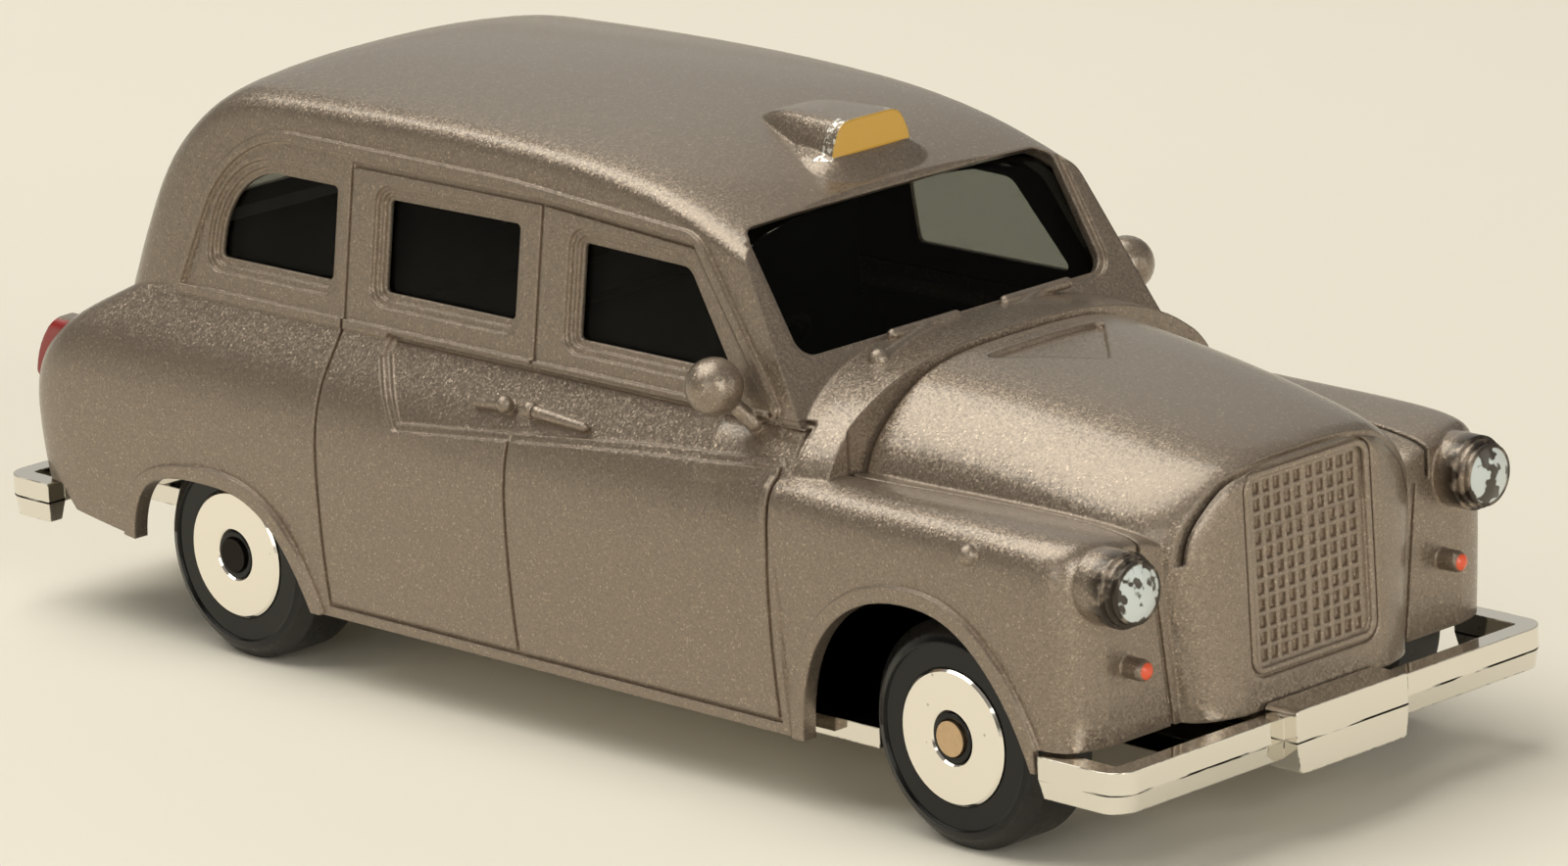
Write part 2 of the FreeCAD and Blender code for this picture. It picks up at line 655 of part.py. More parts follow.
def wall_prism(shares, radius, side, grow, depth):
    """What an outline cuts from a cab wall, from a depth below its surface outwards."""
    view, out = wall_view(side, depth)
    return Part.Face(on_side(shares, radius, view, grow)).extrude(out * (depth + overrun))


def window_tools():
    """Openings of the side windows and the two steps of their frames."""
    step, depth = size("frame_step"), size("frame_depth")
    cuts = ((0.0, depth), (-step, 2 * depth), (-2 * step, wall + overrun))
    tools = []
    for side in SIDES:
        for shares in WINDOW_SHARES:
            tools += [wall_prism(shares, size("corner_round"), side, grow, deep) for grow, deep in cuts]
    return tools


def screen_opening(grow, depth):
    """Opening of the windscreen or, for a small depth, the rebate of its rubber."""
    foot, top, along = screen_line(0)
    ahead = Vector(along.z, 0, -along.x)
    half = half_body - size("screen_post_inset")
    low, high = size("screen_sill"), (top - foot).Length - size("screen_header")

    def on_screen(u, v):
        return foot + Vector(0, u, 0) + along * v

    corners = ((-half, low), (half, low), (half, high), (-half, high))
    outline = rounded(corners, size("corner_round"), on_screen, grow)
    return prism(outline, ahead * overrun, ahead * -(overrun + depth))


# Rear window: shares of the way from waist to roof, and of the half width of the roof
REAR_WINDOW_SHARES = (0.24, 0.60, 0.62)


def rear_window():
    """Opening of the rear window with one step round it."""
    low_share, high_share, half_share = REAR_WINDOW_SHARES
    rise = roof_height - waist
    half = (half_body - size("cab_roof_inset")) * half_share
    low, high = waist + rise * low_share, waist + rise * high_share
    corners = ((-half, low), (half, low), (half, high), (-half, high))
    reach = size("rear_overhang") - size("cab_back_setback") + overrun
    start, sweep = Vector(rear_axle - reach, 0, 0), Vector(reach / 2, 0, 0)
    rebate = prism(rounded(corners, size("corner_round"), end_view, size("frame_step")), start, sweep)
    opening = prism(rounded(corners, size("corner_round"), end_view), start, sweep)
    return [rebate.cut(cab(size("frame_depth"))), opening]


# Side view lines, as (distance forward of the rear axle, share of the way from waist to roof or,
# below the waist, from the sill to the waist). Their lengths are shares of the screen foot reach
DRIP_SHARES = ((-0.134, 0.005), (0.980, 0.005), (0.817, 0.655, 0.16), (0.477, 0.722, 2.5), (-0.050, 0.735, 0.60))
REAR_DOOR_SHARES = (0.190, 0.543)
FRONT_DOOR_SHARES = (1.008, 0.815)
# Top of the door seams at the rear and at the windscreen post, as shares of the way to the roof
DOOR_TOP_SHARES = (0.67, 0.62)


def strip(outline_of, half, start, sweep):
    """The strip between two outlines of one line, swept from a start place."""
    face = Part.makeFace([outline_of(half), outline_of(-half)], "Part::FaceMakerBullseye")
    face.translate(start)
    return face.extrude(sweep)


def drip_rails():
    """Drip rail and waist line round the three windows of each side."""
    rails = []
    for side in SIDES:
        view, out = wall_view(side, wall / 2)
        rails.append(strip(lambda grow, view=view: on_side(DRIP_SHARES, size("frame_step"), view, grow),
                           size("rib_width") / 2, Vector(), out * (wall / 2 + size("rib_height"))))
    return rails


def bars(spots, view, start, sweep):
    """Straight bars of the seam's width along a row of points, swept from a start place."""
    half = size("seam_width") / 2
    pieces = []
    for (u, v), (s, t) in zip(spots, spots[1:]):
        way = Vector(s - u, t - v, 0).normalize() * half
        over = Vector(-way.y, way.x, 0)
        low, high = Vector(u, v, 0) - way, Vector(s, t, 0) + way
        corners = [view(p.x, p.y) for p in (low - over, high - over, high + over, low + over)]
        pieces.append(prism(Part.makePolygon(corners + corners[:1]), start, sweep))
    return pieces


def door_seams():
    """Grooves round the doors: on the curved flank below the waist and on the flat wall over it."""
    reach, depth = size("wheelbase") - size("screen_foot_gap"), size("seam_depth")
    rear, middle = [rear_axle + share * reach for share in REAR_DOOR_SHARES]
    front, post = [rear_axle + share * reach for share in FRONT_DOOR_SHARES]
    foot, top = size("sill_height") + wall, waist + (roof_height - waist) * DOOR_TOP_SHARES[0]
    post_top = waist + (roof_height - waist) * DOOR_TOP_SHARES[1]
    hinge = waist - size("cab_sunk")
    low_end, high_start = waist - depth * 1.5, waist - depth * 2
    slant = (post - front) / (post_top - hinge)
    flank = lower_body(depth, 0.0)
    inner = half_body * REAR_DOOR_SHARES[1]
    seams = []
    for side in SIDES:
        start = Vector(0, inner if side > 0 else -half_body - overrun, 0)
        sweep = Vector(0, half_body + overrun - inner, 0)
        low = bars(((rear, low_end), (rear, foot), (front, foot), (front, hinge),
                    (front + slant * (low_end - hinge), low_end)), side_view, start, sweep)
        low += bars(((middle, foot), (middle, low_end)), side_view, start, sweep)
        seams.append(low[0].fuse(low[1:]).cut(flank))
        view, out = wall_view(side, depth)
        high = bars(((rear, high_start), (rear, top), (middle, top), (post, post_top),
                     (front + slant * (high_start - hinge), high_start)), view, Vector(), out * (depth + overrun))
        high += bars(((middle, high_start), (middle, top)), view, Vector(), out * (depth + overrun))
        seams.append(high[0].fuse(high[1:]))
    return seams


# Boot lid seam: shares of the lid's half width and of its height
BOOT_SEAM_SHARES = (0.86, 0.46, 0.93)


def boot_seam():
    """Groove round the boot lid, seen from behind."""
    width_share, low_share, high_share = BOOT_SEAM_SHARES
    width = (half_body - size("boot_inset")) * width_share
    low, high = size("boot_height") * low_share, size("boot_height") * high_share
    corners = ((-width, low), (width, low), (width, high), (-width, high))
    band = strip(lambda grow: rounded(corners, size("corner_round"), end_view, grow), size("seam_width") / 2,
                 Vector(rear_end - overrun, 0, 0), Vector(size("rear_overhang"), 0, 0))
    return band.cut([boot(size("seam_depth"), 0.0), cab(size("seam_depth"))])


# Bonnet seam in plan: shares of the way from the scuttle to the nose and of the half body width
BONNET_SEAM_SHARES = (
    (0.0, -0.80), (0.40, -0.72), (0.70, -0.675), (0.93, -0.66), (0.985, -0.28), (0.985, 0.28), (0.93, 0.66),
    (0.70, 0.675), (0.40, 0.72), (0.0, 0.80),
)


def bonnet_seam():
    """Groove round the bonnet, seen from above."""
    start = front_axle - size("scuttle_gap")
    length = front_end - size("nose_setback") - start
    corners = [(start + x * length, y * half_body) for x, y in BONNET_SEAM_SHARES]
    band = strip(lambda grow: rounded(corners, size("frame_step"), plan_view, grow), size("seam_width") / 2,
                 Vector(0, 0, size("lamp_height")), Vector(0, 0, roof_height))
    return band.cut([bonnet(size("seam_depth"), 0.0), scuttle(size("seam_depth"), 0.0)])


# Seam between the nose and a wing: half body width shares at its top and foot
NOSE_SEAM_SHARES = (0.60, 0.515)


def nose_seams():
    """Groove between the nose and each wing, seen from the front."""
    half = size("seam_width") / 2
    top_share, foot_share = NOSE_SEAM_SHARES
    high, low = size("lamp_height"), size("sill_height")
    heart = [bonnet(size("seam_depth"), 0.0)] + [front_wing(side, size("seam_depth"), 0.0) for side in SIDES]
    bands = []
    for side in SIDES:
        top, foot = side * half_body * top_share, side * half_body * foot_share
        spots = [end_view(foot - half, low), end_view(foot + half, low), end_view(top + half, high),
                 end_view(top - half, high)]
        band = prism(Part.makePolygon(spots + spots[:1]), Vector(front_end - size("front_post_setback"), 0, 0),
                     Vector(size("front_overhang"), 0, 0))
        bands.append(band.cut(heart))
    return bands


# Swage: corners in the side view, as shares of the screen foot reach and of sill to waist
SWAGE_SHARES = ((0.337, 0.745), (0.690, 0.835), (1.02, 0.905), (1.02, 0.985), (0.283, 0.985), (0.283, 0.94))


def swage_tools():
    """What is taken off the doors above the swage line."""
    reach = size("wheelbase") - size("screen_foot_gap")
    rise = waist - size("sill_height")
    corners = [(rear_axle + x * reach, size("sill_height") + z * rise) for x, z in SWAGE_SHARES]
    tools = []
    for depth, grow in ((size("swage_depth"), 0.0), (size("swage_depth") / 2, size("frame_step"))):
        heart = [lower_body(depth, 0.0), cab(depth), scuttle(depth, 0.0)]
        outline = rounded(corners, 0.0, side_view, grow)
        tools += [side_prism(outline, half_body / 2, half_body + overrun, side).cut(heart) for side in SIDES]
    return tools


def wheel_wells():
    """Room for the wheels on the inner side of the wings."""
    face = half_body - size("wheel_inset") + size("side_play")
    radius = wheel_radius + size("wheel_space")
    wells = []
    for side in SIDES:
        for axle_x in (rear_axle, front_axle):
            start = Vector(axle_x, side * half_body / 2, wheel_radius)
            wells.append(Part.makeCylinder(radius, face - half_body / 2, start, Vector(0, side, 0)))
    return wells


def capsule(start, end, start_radius, end_radius):
    """A round bar between two points with a ball at each end."""
    way = end - start
    if abs(start_radius - end_radius) > 0:
        bar = Part.makeCone(start_radius, end_radius, way.Length, start, way)
    else:
        bar = Part.makeCylinder(start_radius, way.Length, start, way)
    return bar.fuse([Part.makeSphere(start_radius, start), Part.makeSphere(end_radius, end)])


# Door handles: half body width share at their height, and lever lengths as shares of the front one
HANDLE_FLANK_SHARE = 0.895
REAR_LEVER_SHARE = 0.6


def handles():
    """Boss and lever of each door handle, back to back at the middle seam."""
    reach = size("wheelbase") - size("screen_foot_gap")
    seam = rear_axle + REAR_DOOR_SHARES[1] * reach
    radius = size("handle_radius")
    pieces = []
    for side in SIDES:
        for way, share in ((-1, REAR_LEVER_SHARE), (1, 1.0)):
            y = side * half_body * HANDLE_FLANK_SHARE
            boss = Vector(seam + way * 2 * radius, y, size("handle_height"))
            tip = boss + Vector(way * size("handle_lever") * share, side * radius / 4, -radius / 2)
            root = boss + Vector(0, side * radius / 2, 0)
            pieces.append(Part.makeSphere(radius, root))
            pieces.append(capsule(root, tip + Vector(0, side * radius / 4, 0), radius * 0.75, radius / 2))
    return pieces


def lamps():
    """Headlamps in stepped rings, indicators, repeaters and tail lamps."""
    pieces = []
    glass, step, ring_width = size("lamp_glass_radius"), size("lamp_ring_step"), size("lamp_ring")
    length = size("lamp_length")
    bulge = glass / 4
    for side in SIDES:
        face = Vector(front_end - size("lamp_setback"), side * (half_body - size("lamp_inset")), size("lamp_height"))
        back = Vector(-1, 0, 0)
        crown = (glass * glass + bulge * bulge) / (2 * bulge)
        dome = Part.makeSphere(crown, face + back * crown)
        pieces.append(Part.makeCylinder(glass, length, face, back).common(dome))
        for count in (1, 2, 3):
            start = face + back * (bulge + (count - 1) * step)
            pieces.append(Part.makeCylinder(glass + count * ring_width, length - count * step, start, back))
        tip = Vector(front_end - size("indicator_setback"), side * (half_body - size("indicator_inset")),
                     size("indicator_height"))
        bulb = size("indicator_radius")
        pieces.append(capsule(tip + back * bulb, tip + back * 3 * bulb, bulb, bulb))
        repeater = Vector(front_axle + 4 * bulb, side * half_body * 0.985, size("lamp_height") + 2 * bulb)
        pieces.append(Part.makeSphere(bulb, repeater))
    return pieces


def tail_lamps():
    """Tail lamps as low relief on the rear wings."""
    half = size("tail_lamp_width") / 2
    middle, rise = size("tail_lamp_middle"), size("tail_lamp_height") / 2
    layer = lower_body(-2 * size("rib_height"), 0.0)
    reliefs = []
    for side in SIDES:
        y = side * (half_body - size("tail_lamp_inset"))
        corners = ((y - half, middle - rise), (y + half, middle - rise), (y + half, middle + rise),
                   (y - half, middle + rise))
        outline = rounded(corners, half * 0.6, end_view)
        relief = prism(outline, Vector(rear_end - overrun, 0, 0), Vector(size("rear_overhang") / 2, 0, 0))
        reliefs.append(relief.common(layer))
    return reliefs


def arch_lips():
    """Raised lips round the wheel arches, before the arches are cut."""
    rear_layer = lower_body(-size("rib_height"), 0.0)
    lips = []
    for side in SIDES:
        front_layer = front_wing(side, -size("rib_height"), 0.0)
        lips.append(arch_tool(rear_axle, REAR_ARCH_SHARES, side, size("lip_width")).common(rear_layer))
        lips.append(arch_tool(front_axle, FRONT_ARCH_SHARES, side, size("lip_width")).common(front_layer))
    return lips


def mirrors():
    """Ball mirrors on short stalks in front of the front doors' windows."""
    pieces = []
    for side in SIDES:
        ball = Vector(front_axle - size("mirror_gap"), side * (half_body - size("mirror_inset")),
                      waist + size("mirror_rise"))
        radius = size("mirror_radius")
        foot = ball + Vector(radius * 0.7, -side * radius * 1.1, -radius * 1.4)
        pieces.append(Part.makeSphere(radius, ball))
        pieces.append(capsule(ball, foot, size("mirror_stalk_radius"), size("mirror_stalk_radius") * 1.3))
    return pieces


# Wiper pivots: half body width shares off the centre line, both wipers parked to the right
WIPER_SHARES = (-0.48, 0.03)


def wipers():
    """Pivots, arms and blades of the wipers, cast on the scuttle below the windscreen."""
    foot, top, along = screen_line(0)
    pieces = []
    radius, boss = size("wiper_radius"), size("wiper_boss_radius")
    for share in WIPER_SHARES:
        pivot = Vector(foot.x + boss, half_body * share, size("bonnet_height") - boss)
        rest = foot + along * size("screen_sill") + Vector(boss, pivot.y + size("wiper_length"), 0)
        pieces.append(Part.makeSphere(boss, pivot))
        pieces.append(capsule(pivot, rest, radius * 1.4, radius))
        blade = Vector(0, size("wiper_length") * 0.55, 0)
        pieces.append(capsule(rest - blade, rest + blade * 0.6, radius * 1.2, radius * 1.2))
    return pieces


# Sign and fairing sections: shares of its length back from the face, its width and its height
SIGN_SHARES = (
    (0.00, 1.00, 1.00), (0.12, 1.00, 1.01), (0.40, 0.95, 1.02), (0.65, 0.82, 0.99), (0.85, 0.66, 0.80),
    (1.00, 0.45, 0.42),
)
# Raised roof round its foot: shares of that form's length and width, and how far its crest stands
# above the foot of the face as a share of the foot's drop
BROW_SHARES = (
    (0.00, 0.80, -0.83), (0.12, 0.90, -0.26), (0.25, 1.00, 0.05), (0.45, 1.00, 0.15), (0.75, 0.90, 0.21),
    (1.00, 0.75, 0.17),
)
# One half of its section: share of its half width, share of the foot's drop below its crest
BROW_SECTION_SHARES = ((1.0, 0.5), (0.85, 0.2), (0.6, 0.0), (0.3, 0.0), (0.0, 0.0))


def sign():
    """Roof sign: a blank face across the roof that fairs back into it, on a raised part of the roof."""
    face_x = front_axle - size("sign_gap")
    drop = size("sign_foot_drop")
    foot, top = roof_height - drop, roof_height - size("sign_top_drop")
    half, top_half = size("sign_width") / 2, size("sign_top_width") / 2
    low = foot - drop
    rows = []
    for x_share, width_share, z_share in SIGN_SHARES:
        x = face_x - size("sign_length") * x_share
        crest = foot + (top - foot) * z_share
        row = [
            Vector(x, half * width_share, low),
            Vector(x, half * width_share, foot),
            Vector(x, (half + top_half) / 2 * width_share, (foot + crest) / 2),
            Vector(x, top_half * width_share, crest),
            Vector(x, top_half / 2 * width_share, crest),
            Vector(x, 0, crest),
        ]
        rows.append(arch(row))
    brow_rows = []
    for x_share, width_share, z_share in BROW_SHARES:
        x = face_x + size("brow_reach") - size("brow_length") * x_share
        crest, edge = foot + drop * z_share, size("brow_width") / 2 * width_share
        row = [Vector(x, edge, low)]
        row += [Vector(x, edge * way, crest - drop * fall) for way, fall in BROW_SECTION_SHARES]
        brow_rows.append(arch(row))
    return skin(rows).fuse(skin(brow_rows))


def posts(forms):
    """Posts that hang from the inside of the casting and are spun over below the base."""
    pieces = []
    foot = size("sill_height")
    for x in (front_end - size("front_post_setback"), rear_end + size("rear_post_setback")):
        post = Part.makeCylinder(size("post_radius"), roof_height - foot, Vector(x, 0, foot))
        pieces.append(post.common(forms))
        pieces.append(Part.makeCylinder(size("post_head_radius"), size("post_head_thickness"),
                                        Vector(x, 0, foot)))
    return pieces


def tail_tool():
    """What is cut away below the rear wings, behind the wheels and over the rear bumper."""
    low = size("sill_height") - overrun
    start = rear_axle + REAR_ARCH_SHARES[0][0] * wheel_radius
    foot = REAR_ARCH_SHARES[0][1] * wheel_radius
    bumper_end = rear_end + size("rear_bumper_return") + size("base_gap") + wall
    top = rear_bumper_top + 2 * size("base_gap")
    back = rear_end - overrun
    points = ((start, low), (start, foot), (bumper_end + overrun, foot + wall), (bumper_end, top), (back, top),
              (back, low))
    return side_prism(polygon(points), -size("body_width"), size("body_width"), 1)


def chin_tool():
    """What is cut away below the front wings, ahead of the wheels and over the front bumper."""
    low = size("sill_height") - overrun
    foot = size("sill_height") + 2 * wall
    top = front_bumper_top + 2 * size("base_gap")
    start = front_axle + FRONT_ARCH_SHARES[-2][0] * wheel_radius * 0.9
    bumper_end = front_end - size("block_proud") - size("bumper_return") - size("base_gap") - wall / 2
    ahead = front_end + overrun
    points = ((start, low), (start, foot), (bumper_end, foot), (bumper_end, top), (ahead, top), (ahead, low))
    return side_prism(polygon(points), -size("body_width"), size("body_width"), 1)


def grille_tools():
    """Recess of the grille and its rows of square holes beside a plain centre bar."""
    half, foot = size("grille_width") / 2, size("grille_foot_height")
    height, depth = size("grille_height"), size("grille_depth")
    rim = size("grille_frame")
    face_x = front_end - size("nose_setback")
    rake = math.degrees(math.atan(size("nose_rake") / size("bonnet_height")))
    corners = ((-half, foot), (half, foot), (half, foot + height), (-half, foot + height))
    start, sweep = Vector(face_x - depth, 0, 0), Vector(size("front_overhang"), 0, 0)
    bend = size("corner_round")
    recess = prism(rounded(corners, bend, end_view, -rim), start, sweep)
    groove = prism(rounded(corners, bend, end_view), start, sweep)
    groove = groove.cut(prism(rounded(corners, bend, end_view, -rim / 3), start, sweep))
    rows, columns = int(size("grille_rows")), int(size("grille_columns"))
    bar, centre = size("grille_bar"), size("grille_centre_bar")
    across = (half - rim - bar - centre / 2) / columns
    up = (height - 2 * rim - bar) / rows
    holes = []
    for row in range(rows):
        for column in range(columns):
            low = foot + rim + bar + row * up
            near = centre / 2 + column * across
            for side in SIDES:
                ys = sorted((side * near, side * (near + across - bar)))
                holes.append(box(face_x - 2 * depth, face_x + depth, ys[0], ys[1], low, low + up - bar))
    tools = [recess, groove, Part.makeCompound(holes)]
    for tool in tools:
        tool.rotate(Vector(face_x, 0, size("bonnet_height")), Vector(0, 1, 0), -rake)
    return tools


# Bonnet vent: corners in plan, as shares of the way from the scuttle to the nose and of half width
VENT_SHARES = ((0.075, -0.28), (0.32, 0.0), (0.075, 0.28))


def vent_tool():
    """Shallow vee of the air intake on the bonnet."""
    start = front_axle - size("scuttle_gap")
    length = front_end - size("nose_setback") - start
    corners = [(start + x * length, y * half_body) for x, y in VENT_SHARES]
    outline = rounded(corners, size("seam_width"), plan_view)
    return prism(outline, Vector(0, 0, waist), Vector(0, 0, roof_height)).cut(bonnet(size("seam_depth"), 0.0))


def grille_back():
    """Thicker casting behind the grille, which takes the depth of its holes."""
    half, foot = size("grille_width") / 2, size("grille_foot_height")
    back = front_end - size("nose_setback") - 2 * wall
    return box(back, back + wall * 1.5, -half, half, foot, foot + size("grille_height"))


def casting():
    """The painted body: outer forms less the hollow, the windows and the wheel arches."""
    forms = body_block(0.0, 0.0)
    outer = forms.fuse([sign()] + drip_rails() + arch_lips() + tail_lamps())
    shell = outer.cut(body_block(wall, overrun)).fuse(grille_back())
    tools = window_tools() + rear_window() + swage_tools() + grille_tools()
    tools += [tail_tool(), chin_tool(), vent_tool()]
    tools += [screen_opening(0.0, wall + overrun), screen_opening(size("frame_step"), size("frame_depth"))]
    tools += door_seams() + nose_seams() + [boot_seam(), bonnet_seam()] + wheel_wells()
    for side in SIDES:
        tools.append(arch_tool(rear_axle, REAR_ARCH_SHARES, side))
        tools.append(arch_tool(front_axle, FRONT_ARCH_SHARES, side))
    shell = shell.cut(tools)
    return shell.fuse(lamps() + mirrors() + handles() + wipers() + posts(forms)).removeSplitter()


def glazing():
    """One clear moulding that lines the cab behind the window openings."""
    depth = wall + size("glass_gap")
    outer = cab(depth)
    inner = cab(depth + size("glass_thickness"))
    foot = waist + size("glass_foot_rise")
    below = box(rear_end, front_end, -half_body, half_body, 0, foot)
    return outer.cut([inner, below])


# The pieces below are bound to the sheet with these terms
REAR = "((Sizes.rear_overhang - Sizes.front_overhang - Sizes.wheelbase) / 2)"
FRONT = "(%s + Sizes.wheelbase)" % REAR
REAR_END = "(%s - Sizes.rear_overhang)" % REAR
FRONT_END = "(%s + Sizes.front_overhang)" % FRONT
HALF = "(Sizes.body_width / 2)"
WAIST = "Sizes.shoulder_height"
OUTER_FACE = "(%s - Sizes.wheel_inset)" % HALF
CLEAR = "(Sizes.wheel_radius + Sizes.wheel_space)"
CRADLE_HALF = "(%s - Sizes.wheel_width - Sizes.side_play)" % OUTER_FACE
CRADLE_TOP = "(Sizes.wheel_radius + Sizes.cradle_cover)"
PLATE_FOOT = "Sizes.sill_height"
PLATE_TOP = "(Sizes.sill_height + Sizes.base_thickness)"
PLATE_HALF = "(%s - Sizes.base_inset)" % HALF
FRONT_POST = "(%s - Sizes.front_post_setback)" % FRONT_END
REAR_POST = "(%s + Sizes.rear_post_setback)" % REAR_END
TUB_HALF = "(%s - Sizes.tub_inset)" % HALF
TUB_UPPER = "(%s - Sizes.tub_upper_inset)" % HALF
TUB_FOOT = "Sizes.tub_floor_height"
TUB_TOP = "(%s - Sizes.tub_drop)" % WAIST
TUB_FRONT = "(%s - Sizes.tub_front_gap)" % FRONT
TUB_STEP = "(%s + Sizes.tub_step_reach)" % REAR
TUB_BACK = "(%s + Sizes.tub_back_setback)" % REAR_END
SEAT_TOP = "(%s - Sizes.seat_drop)" % WAIST
SEAT_BACK_TOP = "(%s + Sizes.seat_back_rise)" % WAIST
PARTITION = "(%s - Sizes.partition_gap)" % FRONT
TYRE_CLEAR = "(2 * Sizes.wheel_radius + Sizes.wheel_space)"


def block(label, along, across, upright):
    """A box between the lower and higher terms of each direction."""
    piece = doc.addObject("Part::Box", label)
    for name, axis, (low, high) in (("Length", "x", along), ("Width", "y", across), ("Height", "z", upright)):
        piece.setExpression(name, "%s - (%s)" % (high, low))
        piece.setExpression("Placement.Base." + axis, low)
    return piece


def both(half):
    """Terms for the same distance to the right and to the left."""
    return "-" + half, half


def rod(label, radius, length, spot, turn=Rotation()):
    """A cylinder with its foot at a spot, standing up unless it is turned."""
    piece = doc.addObject("Part::Cylinder", label)
    piece.Placement = Placement(Vector(), turn)
    piece.setExpression("Radius", radius)
    piece.setExpression("Height", length)
    for axis, term in zip("xyz", spot):
        piece.setExpression("Placement.Base." + axis, term)
    return piece


def joined(label, parts):
    """Several pieces as one."""
    piece = doc.addObject("Part::MultiFuse", label)
    piece.Shapes = parts
    piece.Refine = True
    return piece


def cut_away(label, whole, tools):
    """A piece less its joined tools."""
    piece = doc.addObject("Part::Cut", label)
    piece.Base = whole
    piece.Tool = joined(label + "_tools", tools)
    piece.Refine = True
    return piece


def new_body(label):
    """An empty body for one turned piece."""
    part = doc.addObject("PartDesign::Body", label)
    part.Label = label
    return part


def origin_feature(part, role):
    """A plane or axis of the body's own origin."""
    return next(f for f in part.Origin.OriginFeatures if f.Role == role)


def outline_sketch(part, role, label, corners):
    """A closed sketch on an origin plane, each corner held by two bound distances."""
    sketch = part.newObject("Sketcher::SketchObject", label)
    sketch.AttachmentSupport = [(origin_feature(part, role), "")]
    sketch.MapMode = "FlatFace"
    count = len(corners)
    step = 2 * math.pi / count
    spots = [Vector(math.cos(i * step), math.sin(i * step), 0) for i in range(count)]
    for i in range(count):
        sketch.addGeometry(Part.LineSegment(spots[i], spots[(i + 1) % count]))
    for i, (u, v) in enumerate(corners):
        sketch.addConstraint(Sketcher.Constraint("Coincident", i, 1, (i - 1) % count, 2))
        for direction, term in (("DistanceX", u), ("DistanceY", v)):
            value = float(sheet.evalExpression(term.replace("Sizes.", "")))
            index = sketch.addConstraint(Sketcher.Constraint(direction, -1, 1, i, 1, value))
            sketch.setExpression("Constraints[%d]" % index, term)
    return sketch


def turned(label, corners):
    """A body turned about its own Y axis from corners given as radius and distance along."""
    part = new_body(label)
    profile = outline_sketch(part, "XY_Plane", label + "_profile", corners)
    turn = part.newObject("PartDesign::Revolution", label + "_turn")
    turn.Profile = profile
    turn.ReferenceAxis = (origin_feature(part, "Y_Axis"), [""])
    turn.Angle = 360
    profile.Visibility = False
    return part


def place_on_axle(part, axle, side, reach):
    """Put a turned piece on an axle, its outer face towards one side of the car."""
    part.setExpression("Placement.Base.x", axle)
    part.setExpression("Placement.Base.z", "Sizes.wheel_radius")
    if side < 0:
        part.Placement = Placement(part.Placement.Base, Rotation(Vector(0, 0, 1), 180))
        part.setExpression("Placement.Base.y", "-(%s)" % reach)
    else:
        part.setExpression("Placement.Base.y", reach)


def wheel(label, axle, side):
    """Black plastic wheel: tread, raised ring on its face, hollow inner side and seat for the disc."""
    face = "Sizes.wheel_width"
    tread_face = "Sizes.wheel_width - Sizes.sidewall_dish"
    sunk_face = "Sizes.wheel_width - Sizes.face_step"
    ring = "Sizes.wheel_radius - Sizes.face_ring"
    bore = "Sizes.axle_radius + Sizes.running_gap"
    seat = "Sizes.wheel_width - Sizes.disc_seat_depth - Sizes.face_step"
    outer_seat = "Sizes.disc_radius + Sizes.disc_gap"
    inner_seat = "Sizes.disc_hole_radius - Sizes.disc_gap"
    head_bore = "Sizes.axle_head_radius + Sizes.running_gap"
    head_seat = "Sizes.wheel_width - Sizes.axle_head_length"
    corners = (
        (bore, "0"),
        ("Sizes.hub_radius", "0"),
        ("Sizes.hub_radius", "Sizes.rim_depth"),
        ("Sizes.rim_radius", "Sizes.rim_depth"),
        ("Sizes.rim_radius", "0"),
        ("Sizes.wheel_radius - Sizes.tread_round", "0"),
        ("Sizes.wheel_radius", "Sizes.tread_round"),
        ("Sizes.wheel_radius", tread_face + " - Sizes.tread_round"),
        ("Sizes.wheel_radius - Sizes.tread_round", tread_face),
        (ring, face),
        (ring, sunk_face),
        (outer_seat, sunk_face),
        (outer_seat, seat),
        (inner_seat, seat),
        (inner_seat, face),
        (head_bore, face),
        (head_bore, head_seat),
        (bore, head_seat),
    )
    part = turned(label, corners)
    place_on_axle(part, axle, side, "%s - Sizes.wheel_width" % OUTER_FACE)
    return part


def wheel_disc(label, axle, side):
    """Bright ring pressed into the face of a wheel."""
    edge = "Sizes.disc_thickness / 3"
    corners = (
        ("Sizes.disc_hole_radius", "0"),
        ("Sizes.disc_radius", "0"),
        ("Sizes.disc_radius", "Sizes.disc_thickness - " + edge),
        ("Sizes.disc_radius - " + edge, "Sizes.disc_thickness"),
        ("Sizes.disc_hole_radius + " + edge, "Sizes.disc_thickness"),
        ("Sizes.disc_hole_radius", "Sizes.disc_thickness - " + edge),
    )
    part = turned(label, corners)
    place_on_axle(part, axle, side, "%s - Sizes.disc_seat_depth - Sizes.face_step" % OUTER_FACE)
    return part


def axle(label, place):
    """Plain steel axle with a formed head at each end."""
    end = "(%s + Sizes.side_play)" % OUTER_FACE
    neck = "(%s + Sizes.side_play - Sizes.axle_head_length)" % OUTER_FACE
    corners = (
        ("0", "-" + end),
        ("Sizes.axle_head_radius", "-" + end),
        ("Sizes.axle_head_radius", "-" + neck),
        ("Sizes.axle_radius", "-" + neck),
        ("Sizes.axle_radius", neck),
        ("Sizes.axle_head_radius", neck),
        ("Sizes.axle_head_radius", end),
        ("0", end),
    )
    part = turned(label, corners)
    place_on_axle(part, place, 1, "0")
    return part


